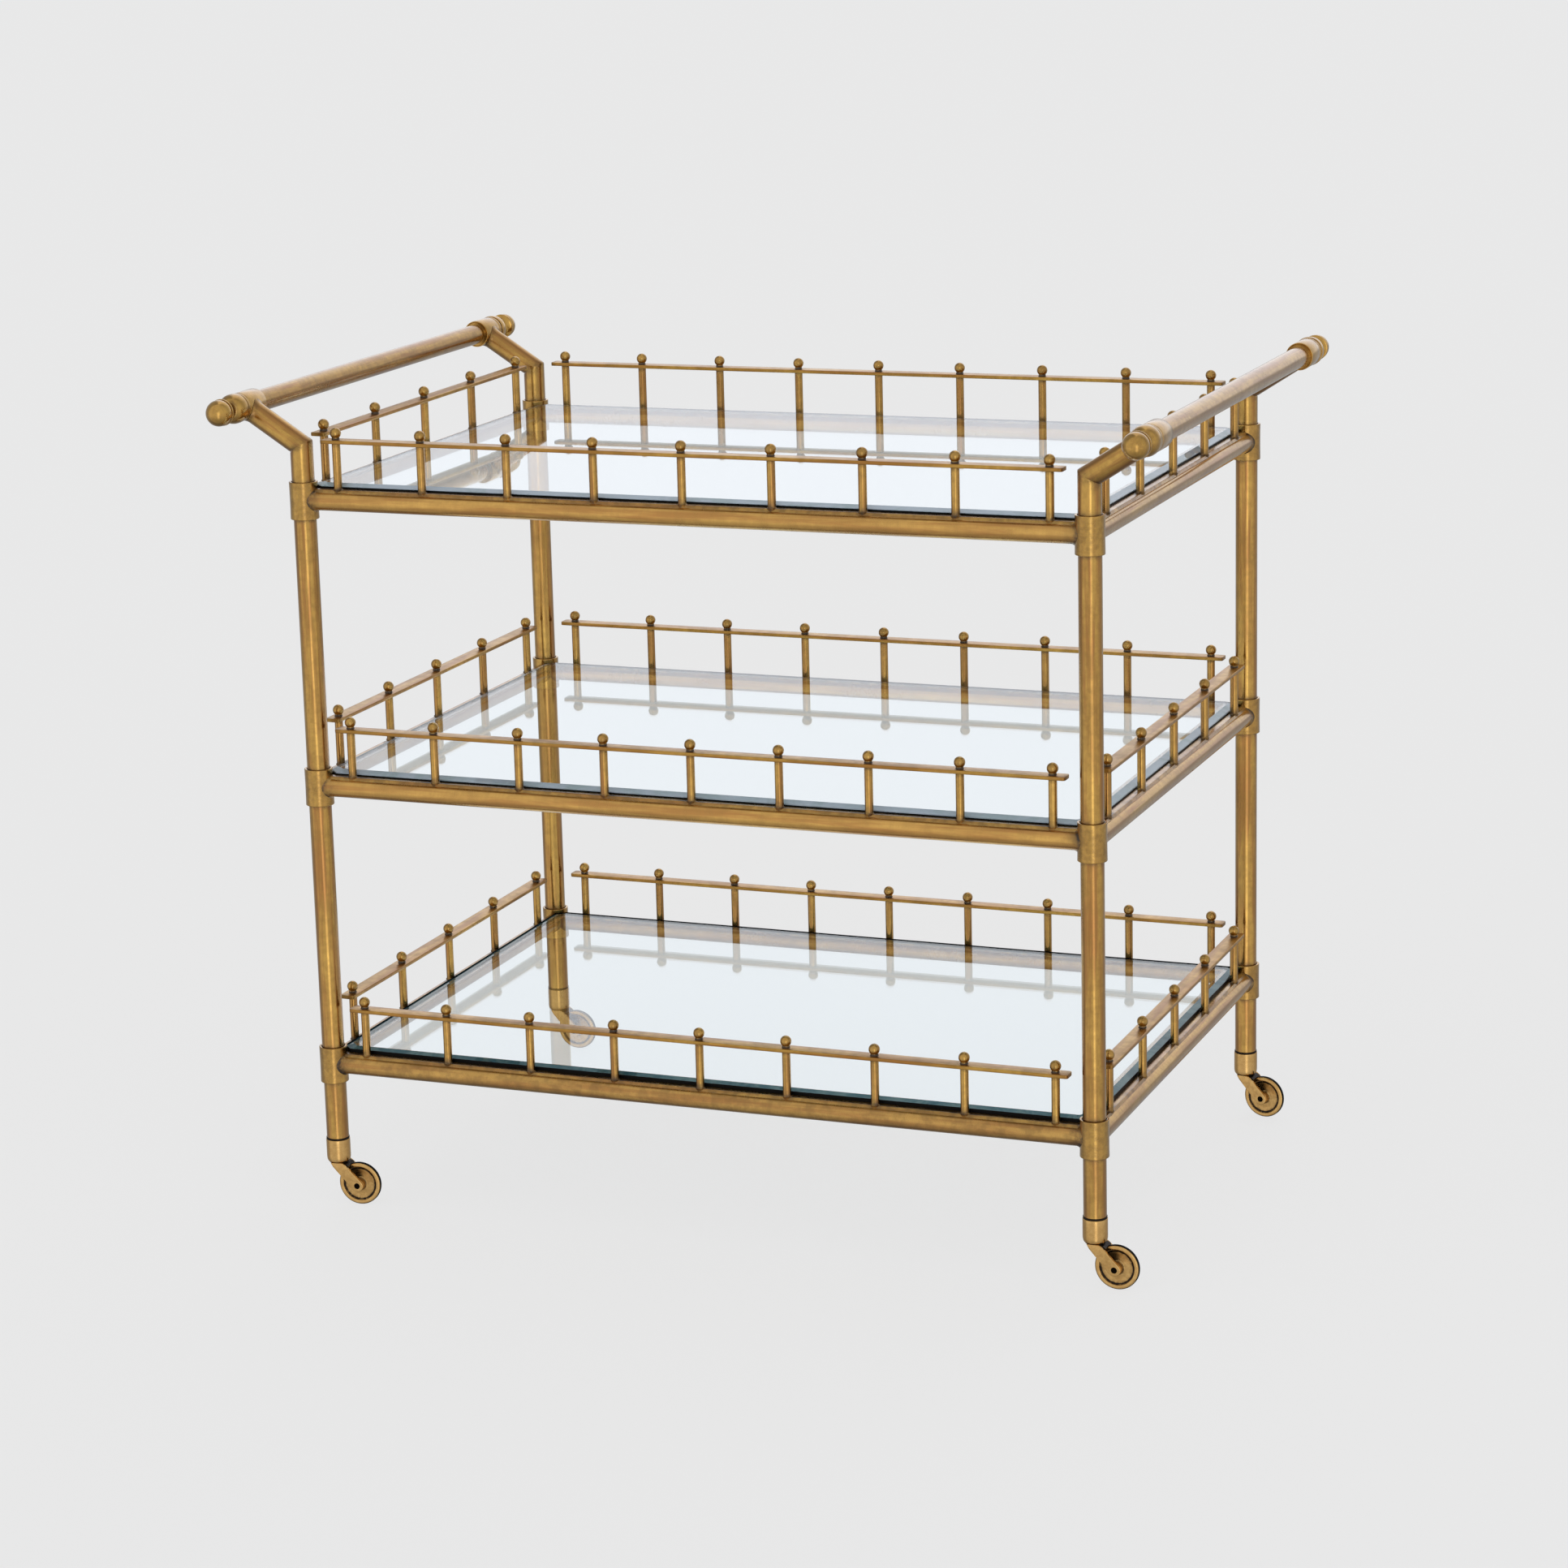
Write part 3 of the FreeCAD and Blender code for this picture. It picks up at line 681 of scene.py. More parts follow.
def makeLedge(halfLength, posts, axisZ):
    # Section in depth and height, carried along X between ends at max(sqrt(Rc^2 - d^2), d)
    low, high = axisZ + railRadius, axisZ + ledgeTop
    front, back = ledge["front"], ledge["back"]
    foot = front - ledge["fillet"]
    foot = (foot, low - 0.2 - railRadius + np.sqrt(railRadius ** 2 - foot ** 2))     # down on the rail
    ring = softened([foot, (back, low), (back, high), (front, high), foot], ledge["edge"], 2)
    topRow = np.stack([np.linspace(back - 1, front + 1, 12), np.full(12, high)], 1)
    split = np.argmax(ring[:, 1] >= high - 1e-6) + 1
    ring = evenCount(np.concatenate([ring[:split], topRow, ring[split:-1]]))
    d, z = ring.T
    end = np.maximum(np.sqrt(np.maximum(collarRadius ** 2 - d ** 2, 0)), d) + 0.05
    rows = int(2 * halfLength / ledge["step"])
    u = np.linspace(-1, 1, rows)[:, None]
    x = u * (halfLength - end)
    postGap = np.abs(x[..., None] - posts).min(-1)
    outside = np.hypot(postGap / ledge["stainAlong"], d / ledge["stainAcross"])
    tarnishAndShade = ledge["postStain"] * glow(np.maximum(outside - ledge["stainCore"], 0), ledge["stainFade"])
    tarnishAndShade = np.maximum(tarnishAndShade, ledge["rimStain"] * glow(d - ledge["front"], ledge["rimReach"]))
    # painted shade with solder: the front face and underside darkened
    face = ledge["faceDarkening"] + ledge["faceSpots"] * glow(postGap, ledge["spotReach"])
    tarnishAndShade = np.where(z > high - 0.1, tarnishAndShade, face)
    fromCollar = halfLength - np.abs(x) - collarRadius
    tarnishAndShade = np.maximum(tarnishAndShade, ledge["endStain"] * glow(fromCollar, ledge["endReach"]))
    return np.stack([x, np.broadcast_to(d, x.shape), np.broadcast_to(z, x.shape)], -1), tarnishAndShade


def fourSides(longPoints, longTarnish, shortPoints, shortTarnish, rearShade=0.0):
    # A long and a short side, given along X with their depth inward, set round the shelf
    sides = []
    for points, tarnishAndShade, along, inward, far in (
        (longPoints, longTarnish, (1, 0, 0), (0, 1, 0), (0, -legY, 0)),
        (longPoints, longTarnish, (-1, 0, 0), (0, -1, 0), (0, legY, 0)),
        (shortPoints, shortTarnish, (0, -1, 0), (1, 0, 0), (-legX, 0, 0)),
        (shortPoints, shortTarnish, (0, 1, 0), (-1, 0, 0), (legX, 0, 0)),
    ):
        # painted shade on the rear side
        tarnishAndShade = np.maximum(tarnishAndShade, rearShade * (far[1] > 0))
        sides.append(surface(placed(points, along, inward, (0, 0, 1), far), tarnishAndShade))
    return sides


longOffsets = postOffsets(gallery["longPosts"], gallery["longPitch"])
shortOffsets = postOffsets(gallery["shortPosts"], gallery["shortPitch"])
for shelf in shelves:
    longSide, shortSide = (makeLedge(half, offsets, railZ[shelf]) for half, offsets in (
        (legX, longOffsets), (legY, shortOffsets)))
    bars = fourSides(*longSide, *shortSide, ledge["rearShade"])
    buildPiece("ledges_" + shelf, "bars", flatBrass, bars)


# Glazing tape and glass: frames and sheets with a bevelled edge

glazing = {
    "edge": 6.5,                                 # glass edge inward from the plane of the legs
    "corner": 12.0,                              # clipped off each corner, clear of the collar
    "tapeWidth": 5.0, "tapeThickness": 0.6, "lip": 0.5,
    "lipHeight": {"bottom": 3.8, "middle": 1.3, "top": 1.9},      # above the ledge, as far as it shows
    "glassThickness": 4.5, "bevelWidth": 9.0, "bevelDrop": 2.4,
    "arris": 0.35,
    "gap": 0.02,                                 # between the tape and the glass
}


def paneRings(section):
    # Rings round a pane with clipped corners, all its edges set the same depth inward from the
    # legs' plane, so that a corner's clip shrinks by (2 - sqrt 2) times what the ring is inset
    depth, height = np.asarray(section, float).T
    x, y = legX - depth, legY - depth
    corner = glazing["corner"] - (2 - np.sqrt(2)) * (depth - glazing["edge"])
    quarter = [(x, corner - y), (x, y - corner), (x - corner, y), (corner - x, y)]
    xy = np.array(quarter + [(-px, -py) for px, py in quarter]).transpose(2, 0, 1)
    return np.concatenate([xy, np.broadcast_to(height[:, None, None], xy.shape[:2] + (1,))], -1)


def makeTape(shelf):
    # L section: a flat strip under the glass and a thin lip up its edge
    low = railZ[shelf] + ledgeTop
    seat, top = low + glazing["tapeThickness"], low + glazing["lipHeight"][shelf]
    outer, inner = glazing["edge"] - glazing["lip"], glazing["edge"] + glazing["tapeWidth"]
    wall, floor = glazing["edge"] - glazing["gap"], seat - glazing["gap"]
    section = [(outer, low), (outer, top), (wall, top), (wall, floor), (inner, floor), (inner, low)]
    return surface(paneRings(section), wrapRows=True)


def makeGlass(axisZ):
    # Rings of the sheet's section from its underside round the edge and up the bevel
    low = axisZ + ledgeTop + glazing["tapeThickness"]
    high = low + glazing["glassThickness"]
    edge, arris = glazing["edge"], glazing["arris"]
    bevelTop = edge + glazing["bevelWidth"]
    section = [(edge + arris, low), (edge, low + arris), (edge, high - glazing["bevelDrop"] - arris),
               (edge + arris, high - glazing["bevelDrop"]), (bevelTop, high)]
    return surface(paneRings(section))


tapes = [makeTape(shelf) for shelf in shelves]
buildPiece("glazing_tapes", "black", blackTape, tapes, sharp=20)
for shelf in shelves:
    pane = makeGlass(railZ[shelf])
    sheet = buildPiece("glass_" + shelf, "bevelled", clearGlass, [pane], sharp=1)
    sheet.data.materials.append(cutGlass)
    faces = sheet.data.polygons
    cut = np.arange(len(faces)) < len(faces) - 6           # all but the two flat faces, three quads each
    faces.foreach_set("material_index", cut.astype(int))


# Gallery: posts with soldered feet, rounded strips and ball finials

post = {
    "columns": 16, "radius": 4.7,
    "foot": 1.1, "footHeight": 2.0, "sunk": 3.4,                        # solder round the foot
    "top": 0.6, "topHeight": 1.4,                                       # and under the strip
    "footStain": 0.75, "footReach": 5.5, "topStain": 0.5, "topReach": 3.0,
}
strip = {"width": 18.0, "overhang": 16.0, "edge": 0.8, "endRound": 3.0, "endStain": 0.35, "endReach": 5.0}
finial = {
    "columns": 20, "radius": 6.25, "rise": 7.0, "neck": 4.2,
    "neckStain": 2.2, "neckReach": 2.0, "ballLowDarkening": 0.5, "ballReach": 5.0, "stain": 0.12,
}


def postPlaces(height):
    # Feet of a shelf's posts, or of what stands on them: both long sides, then both short ones
    longSide = [(x, y, height) for y in (-legY, legY) for x in longOffsets]
    return longSide + [(x, y, height) for x in (-legX, legX) for y in shortOffsets]


def makePosts(axisZ):
    # Rod with radius R + foot (1 - h / footHeight)^2 at its foot, and a smaller flare at its top.
    # Below the ledge's top face the solder narrows again until it meets the rail
    length = stripLow - ledgeTop
    h = np.array([-post["sunk"], -post["sunk"] / 2, 0, 0.5, 1.1, 2.0, 4, 9, 16])
    h = np.concatenate([h, [length - 5, length - post["topHeight"], length - 0.5, length]])
    spread = np.where(h < 0, 1 + h / post["sunk"], 1 - h / post["footHeight"])
    flare = np.clip(spread, 0, 1) ** 2
    flare = flare + post["top"] * np.clip(1 - (length - h) / post["topHeight"], 0, 1) ** 2
    profile = np.stack([post["radius"] + post["foot"] * flare, h], 1)
    tarnishAndShade = post["footStain"] * glow(h, post["footReach"])
    tarnishAndShade = tarnishAndShade + post["topStain"] * glow(length - h, post["topReach"])
    places = postPlaces(axisZ + ledgeTop)
    return surface(turned(profile, post["columns"]), tarnishAndShade[:, None], places=places)


def makeStrip(halfLength):
    # Rounded section, its half width narrowing round the ends: w - r + sqrt(r^2 - e^2)
    thickness = stripHigh - stripLow
    half, r = strip["width"] / 2, strip["endRound"]
    t = np.radians(np.linspace(0, 90, 7))
    endX = halfLength - r + r * np.sin(t)
    endLoss = r - r * np.cos(t)
    x = np.concatenate([-endX[::-1], np.linspace(-halfLength + 8, halfLength - 8, 24), endX])[:, None]
    loss = np.concatenate([endLoss[::-1], np.zeros(24), endLoss])[:, None]
    ring = [(0, 0), (half, 0), (half, thickness), (-half, thickness), (-half, 0), (-0.01, 0)]
    ring = evenCount(softened(ring, strip["edge"], 3)[:-1])
    width = ring[:, 0] - np.sign(ring[:, 0]) * np.minimum(np.abs(ring[:, 0]), loss)
    height = np.broadcast_to(ring[:, 1], width.shape)
    tarnishAndShade = strip["endStain"] * glow(halfLength - np.abs(x), strip["endReach"])
    return np.stack([np.broadcast_to(x, width.shape), width, height], -1), tarnishAndShade


def makeStrips(axisZ):
    # The posts' centre lines carry the long and the short strips, past the last post by the overhang
    lift = (0, 0, axisZ + stripLow)
    longPoints, longTarnish = makeStrip(longOffsets[-1] + strip["overhang"])
    shortPoints, shortTarnish = makeStrip(shortOffsets[-1] + strip["overhang"])
    return fourSides(longPoints + lift, longTarnish, shortPoints + lift, shortTarnish)


def makeFinials(axisZ):
    # Neck with a small foot, then a ball: (R cos a, rise + R sin a) from the neck to the crown
    startAngle = -np.degrees(np.arccos(finial["neck"] / finial["radius"]))
    ball = arc((0, finial["rise"]), finial["radius"], startAngle, 86, 9)
    profile = np.concatenate([[(finial["neck"] + 0.7, 0), (finial["neck"] + 0.1, 0.7)], ball])
    # the ball darkened towards its lower half
    ballLowDarkening = finial["ballLowDarkening"] * glow(profile[:, 1], finial["ballReach"]) + finial["stain"]
    tarnishAndShade = np.maximum(finial["neckStain"] * glow(profile[:, 1], finial["neckReach"]), ballLowDarkening)
    places = postPlaces(axisZ + stripHigh)
    return surface(turned(profile, finial["columns"]), tarnishAndShade[:, None], places=places)


for shelf in shelves:
    z = railZ[shelf]
    buildPiece("posts_" + shelf, "rods", tubeBrass, [makePosts(z)])
    buildPiece("strips_" + shelf, "flats", wornBrass, makeStrips(z))
    buildPiece("finials_" + shelf, "balls", turnedBrass, [makeFinials(z)])
print("shelf edges, glass and galleries made")


# Handle ends: sleeve, cap and knob, all turned about the bar's axis

handleEnd = {
    "columns": 56,
    "sleeveRadius": 16.0, "sleeveLength": 42.0, "sleeveStain": 0.5,
    # painted shade and patina: the sleeve's sunk inner end darkened
    "recess": 1.6, "recessShadeAndPatina": 0.95,          # sleeve's inner end, sunk round the bar
    "beadFrom": 5.5, "beadDepth": 0.28,          # fine lines turned near the outer end
    "seamRadius": 15.2, "seam": 1.5, "seamStain": 0.9,
    "capRadius": 16.6, "capLength": 19.5, "capRim": 4.5,
    "neck": 7.5, "waist": 8.3, "capNeckStain": 0.5, "knobNeckStain": 0.6, "neckReach": 2.0,
    "ringRadius": 14.9, "ringWidth": 1.8, "ringGap": 5.0, "ringStain": 0.85, "ringReach": 0.45,
    "knobRadius": 14.5, "knobCentre": 39.0,
    "barStain": 0.1, "barEndStain": 0.6, "barEndReach": 2.5,
}


def atBarEnds(profile, tarnishAndShade, wrapRows=False):
    # The profile runs along the bar from the sleeve's outer end, with copies at the four ends
    pieces = []
    for sideX in (-1, 1):
        for sideY in (-1, 1):
            origin = (sideX * barAt[0], sideY * sleeveEnd, barAt[2])
            shape = placed(turned(profile, handleEnd["columns"]), (1, 0, 0), (0, 0, 1), (0, sideY, 0), origin)
            pieces.append(surface(shape, tarnishAndShade[:, None], wrapRows=wrapRows))
    return pieces


def sleeveProfile():
    # Straight wall with two fine grooves, a step in round the bar and a flat outer end
    e = handleEnd
    inner, outer = -e["sleeveLength"], 0.0
    radius, bore = e["sleeveRadius"], barRadius - 0.3
    line, sunk = -e["beadFrom"], radius - e["beadDepth"]
    path = [(bore, inner + e["recess"]), (radius - 1.5, inner + e["recess"]), (radius - 1.3, inner),
            (radius, inner),
            (radius, line - 1.4), (sunk, line - 1.1), (sunk, line - 0.7), (radius, line - 0.4),
            (radius, line + 0.4), (sunk, line + 0.7), (sunk, line + 1.1), (radius, line + 1.4),
            (radius, outer), (bore, outer)]
    return softened(path, [0.3, 0.3, 0.5] + 8 * [0.15] + [0.6], 2)


def capProfile():
    # Bell: quarter ellipse from the rim in to the neck
    e = handleEnd
    crown = e["seam"] + e["capRim"]
    t = np.radians(np.linspace(0, 90, 11))
    bell = np.stack([e["neck"] + (e["capRadius"] - e["neck"]) * np.cos(t),
                     crown + (e["capLength"] - crown) * np.sin(t)], 1)
    rim = softened([(e["seamRadius"] - 3, 0.0), (e["seamRadius"], 0.05), (e["seamRadius"], e["seam"]),
                    (e["capRadius"], e["seam"]), (e["capRadius"], crown)], [0.1, 0.2, 0.7], 3)
    return np.concatenate([rim, bell[1:]])


def knobProfile():
    # Waisted neck, thin ring with a groove before it, then a ball: (R cos a, centre + R sin a)
    e = handleEnd
    ringEnd = e["knobCentre"] - e["ringGap"]
    ringStart = ringEnd - e["ringWidth"]
    ballStart = -np.degrees(np.arcsin((e["ringGap"] - 0.6) / e["knobRadius"]))
    ball = arc((0, e["knobCentre"]), e["knobRadius"], ballStart, 87, 22)
    neck = [(e["neck"], e["capLength"] - 0.4), (e["neck"] - 0.2, e["capLength"] + 2.5),
            (e["waist"] + 0.2, e["capLength"] + 7), (e["waist"] + 2.6, ringStart - 1.6),
            (e["ringRadius"] - 0.8, ringStart), (e["ringRadius"], ringStart + 0.1), (e["ringRadius"], ringEnd),
            (ball[0, 0] - 0.8, ringEnd + 0.1)]
    neck = softened(neck, [1.5, 2.5, 2.0, 0.5, 0.4, 0.5], 3)
    return np.concatenate([neck, ball])


sleeveShape, capShape, knobShape = sleeveProfile(), capProfile(), knobProfile()
r, h = sleeveShape.T
# painted shade and patina in the sleeve's recess
darkenedRecess = handleEnd["recessShadeAndPatina"] * (r < handleEnd["sleeveRadius"] - 1.4)
sleeveStain = np.where(h < 1.1 - handleEnd["sleeveLength"], darkenedRecess, handleEnd["sleeveStain"] * glow(h, 1.0))
r, h = capShape.T
capStain = np.maximum(handleEnd["seamStain"] * (r < handleEnd["seamRadius"] + 0.1) * (h < 3),
                      handleEnd["capNeckStain"] * glow(h - handleEnd["capLength"], handleEnd["neckReach"]))
h = knobShape[:, 1]
ringPlace = handleEnd["knobCentre"] - handleEnd["ringGap"] + 0.4
knobStain = np.maximum(handleEnd["knobNeckStain"] * glow(h - handleEnd["capLength"], handleEnd["neckReach"]),
                       handleEnd["ringStain"] * glow(h - ringPlace, handleEnd["ringReach"]))
for nodeName, surfaces in (("handle_sleeves", atBarEnds(sleeveShape, sleeveStain, wrapRows=True)),
                           ("handle_caps", atBarEnds(capShape, capStain)),
                           ("handle_knobs", atBarEnds(knobShape, knobStain))):
    buildPiece(nodeName, "turned", turnedBrass, surfaces)


def makeBar(side):
    # Straight tube, stained where it enters the sleeves
    half = sleeveEnd - 2
    innerEnd = sleeveEnd - handleEnd["sleeveLength"]
    y = denseNear(-half, half, [-innerEnd, innerEnd], 8, 1.2, 30)
    tube = turned(np.stack([np.full(len(y), barRadius), y], 1), handleEnd["columns"])
    points = placed(tube, (1, 0, 0), (0, 0, 1), (0, 1, 0), (side * barAt[0], 0, barAt[2]))
    endStain = handleEnd["barEndStain"] * glow(innerEnd - np.abs(y), handleEnd["barEndReach"])
    return surface(points, (handleEnd["barStain"] + endStain)[:, None])


for side, sign in (("left", -1), ("right", 1)):
    buildPiece("handle_bar_" + side, "tube", tubeBrass, [makeBar(sign)])
print("handles made")


# Caster cups: ferrules on the legs' feet

cup = {
    "columns": 48,
    "radius": 13.7, "bottom": 51.5, "top": 80.5,
    "roundIn": 2.1, "roundUp": 6.5,              # ellipse round the bottom edge
    # the black ring is painted shadow of the gap round the leg, with patina
    "bandHeight": 2.3, "bandRadius": 13.3, "bandShadeAndPatina": 2.0,            # black ring on top of the pale rim
    "lip": 0.5,                                  # rounding of the rim
    "socketRadius": 4.5, "socketDepth": 6.0,
    "edgeStain": 0.8, "edgeReach": 0.5,
}


def cupProfile():
    # Closed ring: elliptical bottom edge, wall, rim, black ring, its top in to the leg, and the socket
    c = cup
    t = np.radians(np.linspace(-88, 0, 8))
    bottom = np.stack([c["radius"] + c["roundIn"] * (np.cos(t) - 1),
                       c["bottom"] + c["roundUp"] * (1 + np.sin(t))], 1)
    rimTop, inner, socket = c["top"] - c["bandHeight"], legRadius - 0.4, c["socketRadius"]
    rim = [(c["radius"], rimTop - 4), (c["radius"], rimTop), (legRadius, rimTop), (legRadius, rimTop + 0.2),
           (c["bandRadius"], rimTop + 0.2), (c["bandRadius"], c["top"]), (inner, c["top"])]
    rim = softened(rim, [c["lip"], 0.1, 0.1, 0.1, 0.6], 3)
    ceiling = c["bottom"] + c["socketDepth"]
    inside = [(inner, ceiling), (socket, ceiling), (socket, c["bottom"] + 0.2)]
    return np.concatenate([bottom, rim, inside])


cupShape = cupProfile()
# painted shadow and patina on the black ring
cupStainAndShade = cup["bandShadeAndPatina"] * (cupShape[:, 1] > cup["top"] - cup["bandHeight"] + 0.1)
cupStainAndShade = np.maximum(cupStainAndShade, cup["edgeStain"] * glow(cupShape[:, 1] - cup["bottom"], cup["edgeReach"]))
cups = surface(turned(cupShape, cup["columns"]), cupStainAndShade[:, None], wrapRows=True, places=list(legAt.values()))
buildPiece("caster_cups", "turned", paleBrass, [cups])


# Casters: each is worked out trailing along X from its stem and turned to its place

caster = {
    "plateColumns": 64,
    "topFront": -7.5, "topBack": 9.5,            # top corners of the side plates, from the stem
    "endRadius": 7.0, "cornerPower": 13.0,       # round end at the axle, sharpness of the top corners
    "halfWidth": 12.5, "plate": 3.0, "plateEdge": 0.7,
    "crownTop": 51.2, "crownThickness": 5.0, "crownReach": 8.5,
    "webLow": 47.6, "webReach": 14.5, "webThickness": 1.6,
    "axleRadius": 3.25, "axleRecess": 0.6,
    "stemRadius": 4.0, "stemTop": 66.0, "headRadius": 5.4,
    "pinColumns": 32, "pinRound": 0.3,
    # painted shade: the plates' inner faces and the axle's holes darkened, the web near black as patina and
    # painted shade, the axle's ends near black over the dark steel
    "faceDarkening": 0.12, "insideShade": 0.85, "holeShade": 2.0,
    "crownStain": 0.3, "webDarkening": 2.5, "stemStain": 0.3, "axleShade": 2.5,
}
wheel = {
    "columns": 72,
    "radius": 25.0, "hubRadius": 6.9, "hubHalf": 9.2, "webHalf": 1.9, "dish": 0.8,
    "rimInner": 19.4, "rimHalf": 3.4, "flange": 24.4, "tyreHalf": 2.0, "tyreDepth": 1.6, "tyreRound": 0.55,
    # painted shadow: the dark line inside the rim
    "grooveDarkening": 1.7, "grooveReach": 1.15,     # dark line inside the rim
    # painted shade round the hub and in the bore; the web's own darker tone
    "webDarkening": 0.16, "hubShade": 0.7, "boreShade": 0.9,
}
axleAt = {corner: nodeMiddle("caster_tyre_" + corner) for corner in corners}
trail = np.linalg.norm((axleAt["rear_left"] - legAt["rear_left"])[:2])
axleZ = axleAt["rear_left"][2]


def plateRadius(turn):
    # Distance from the axle to the outline: the end circle R, and above it three lines joined by a
    # power mean: R / cos(a - touch) for the two that touch the circle, and height / sin a on top
    c = caster
    a = np.mod(turn + np.pi / 2, 2 * np.pi) - np.pi / 2
    least = 0.02                                 # keeps a line's distance finite where it faces away
    height = c["crownTop"] - axleZ
    lines, touches = [], []
    for x, side in ((c["topFront"], 1), (c["topBack"], -1)):
        reach = np.hypot(x - trail, height)
        touch = np.arctan2(height, x - trail) + side * np.arccos(c["endRadius"] / reach)
        touches.append(touch)
        lines.append(np.maximum(np.cos(a - touch), least) / c["endRadius"])
    lines.append(np.maximum(np.sin(a), least) / height)
    hull = (np.array(lines) ** c["cornerPower"]).sum(0) ** (-1 / c["cornerPower"])
    return np.where((a > touches[1]) & (a < touches[0]), np.maximum(hull, c["endRadius"]), c["endRadius"])


def makePlate(side):
    # Rings from the axle's hole over the outer face, round the edge and back over the inner face
    c = caster
    heading = np.arctan2(c["crownTop"] - axleZ, (c["topFront"] + c["topBack"]) / 2 - trail)
    t = np.linspace(-1, 1, c["plateColumns"], endpoint=False) + 1 / c["plateColumns"]
    turn = np.pi * np.sign(t) * np.abs(t) ** 1.8           # columns closer together round the top
    outline = plateRadius(turn + heading)
    hole = c["axleRadius"] + 0.05
    edge, outer, inner = c["plateEdge"], c["halfWidth"], c["halfWidth"] - c["plate"]
    rings = [(hole, outer - 1.4), (hole, outer - 0.25), (hole + 0.25, outer)]
    rings += [(hole + share * (outline - edge - hole), outer) for share in (0.3, 0.65)]
    rings += [(outline - edge + edge * np.sin(k), outer - edge + edge * np.cos(k))
              for k in np.radians(np.linspace(0, 90, 4))]
    rings += [(outline, inner + 0.3), (outline - 0.3, inner), (hole, inner)]
    radius, depth = (np.array([ring[k] + 0 * turn for ring in rings]) for k in (0, 1))
    x = trail + radius * np.cos(turn + heading)
    z = axleZ + radius * np.sin(turn + heading)
    # painted shade in the axle's hole and on the plates' inner faces
    tarnishAndShade = np.maximum(c["holeShade"] * (radius < hole + 0.1), c["insideShade"] * (depth < inner + 0.1))
    face = (depth > outer - 0.05) & (radius < outline - edge - 0.2)
    tarnishAndShade = np.maximum(tarnishAndShade, c["faceDarkening"] * face)
    return surface(np.stack([x, side * depth, z], -1), tarnishAndShade, wrapRows=True)


def makeCrown():
    # Half disc at the front and a flat back, its wall sloping in to a smaller underside
    c = caster
    angle = np.radians(np.linspace(90, 270, 21))
    front = np.stack([np.cos(angle), np.sin(angle)], 1) * c["halfWidth"]
    back = [(c["crownReach"], y) for y in (-c["halfWidth"], -4, 4, c["halfWidth"])]
    outline = evenCount(np.concatenate([front, back]))
    inset = np.array([6.5, 6.0, 5.6, 1.3, 1.1, 1.6])       # from the underside up to the top
    height = c["crownTop"] - c["crownThickness"] + np.array([0, 0.12, 0.6, 4.4, 4.88, 5.0])
    centre = outline.mean(0)
    away = (outline - centre) / np.linalg.norm(outline - centre, axis=1, keepdims=True)
    xy = outline[None] - inset[:, None, None] * away
    points = np.concatenate([xy, np.broadcast_to(height[:, None, None], xy.shape[:2] + (1,))], -1)
    return surface(points, c["crownStain"])


def makeWeb():
    # Sloped plate that closes the fork behind the crown, between its side plates; darkened near black, partly
    # patina and partly painted shade of the fork's inside
    c = caster
    path = np.array([(c["crownReach"] - 2.5, c["crownTop"] - 0.9), (c["crownReach"] + 2.2, c["crownTop"] - 1.2),
                     (c["webReach"], c["webLow"])])
    path = softened(path, 2.5, 4)
    thick = np.array([0, -c["webThickness"]])
    section = evenCount(np.concatenate([path, (path + thick)[::-1]]))
    y = np.linspace(-1, 1, 5) * (c["halfWidth"] - c["plate"] + 0.2)
    points = np.stack(np.broadcast_arrays(section[None, :, 0], y[:, None], section[None, :, 1]), -1)
    return surface(points, c["webDarkening"])


def wheelProfile():
    # Half section from the bore over hub, dished web and rolled rim to the tyre's seat, mirrored
    w = wheel
    half = [(caster["axleRadius"] + 0.05, w["hubHalf"]), (w["hubRadius"] - 0.6, w["hubHalf"]),
            (w["hubRadius"], w["hubHalf"] - 0.6), (w["hubRadius"] + 0.2, w["webHalf"] + 1.0),
            (w["hubRadius"] + 1.4, w["webHalf"]), (13.0, w["webHalf"] - w["dish"] + 0.3),
            (w["rimInner"] - 1.2, w["webHalf"]), (w["rimInner"], w["rimHalf"] - 1.2),
            (w["rimInner"] + 0.9, w["rimHalf"]), (w["flange"] - 1.2, w["rimHalf"]),
            (w["flange"], w["rimHalf"] - 0.9), (w["flange"], w["tyreHalf"] + 0.2),
            (w["radius"] - w["tyreDepth"], w["tyreHalf"])]
    reach = [0.3, 0.3, 0.5, 0.8, 3.0, 1.0, 0.9, 1.0, 1.0, 0.5, 0.2]
    half = softened(half, reach, 4)
    return np.concatenate([half, half[::-1] * (1, -1)])


def tyreProfile():
    # Flat band with a quarter circle (R - r + r cos a, h - r + r sin a) over each shoulder
    w = wheel
    seat, r, half = w["radius"] - w["tyreDepth"] - 0.1, w["tyreRound"], w["tyreHalf"]
    upper = arc((w["radius"] - r, half - r), r, 90, 0, 4)
    lower = arc((w["radius"] - r, r - half), r, 0, -90, 4)
    return np.concatenate([[(seat, half)], upper, lower, [(seat, -half)]])


def onAxle(profile, columns):
    # The profile's own axis laid across the fork, through the axle
    return placed(turned(profile, columns), (1, 0, 0), (0, 0, 1), (0, 1, 0), (trail, 0, axleZ))


wheelShape = wheelProfile()
r = wheelShape[:, 0]
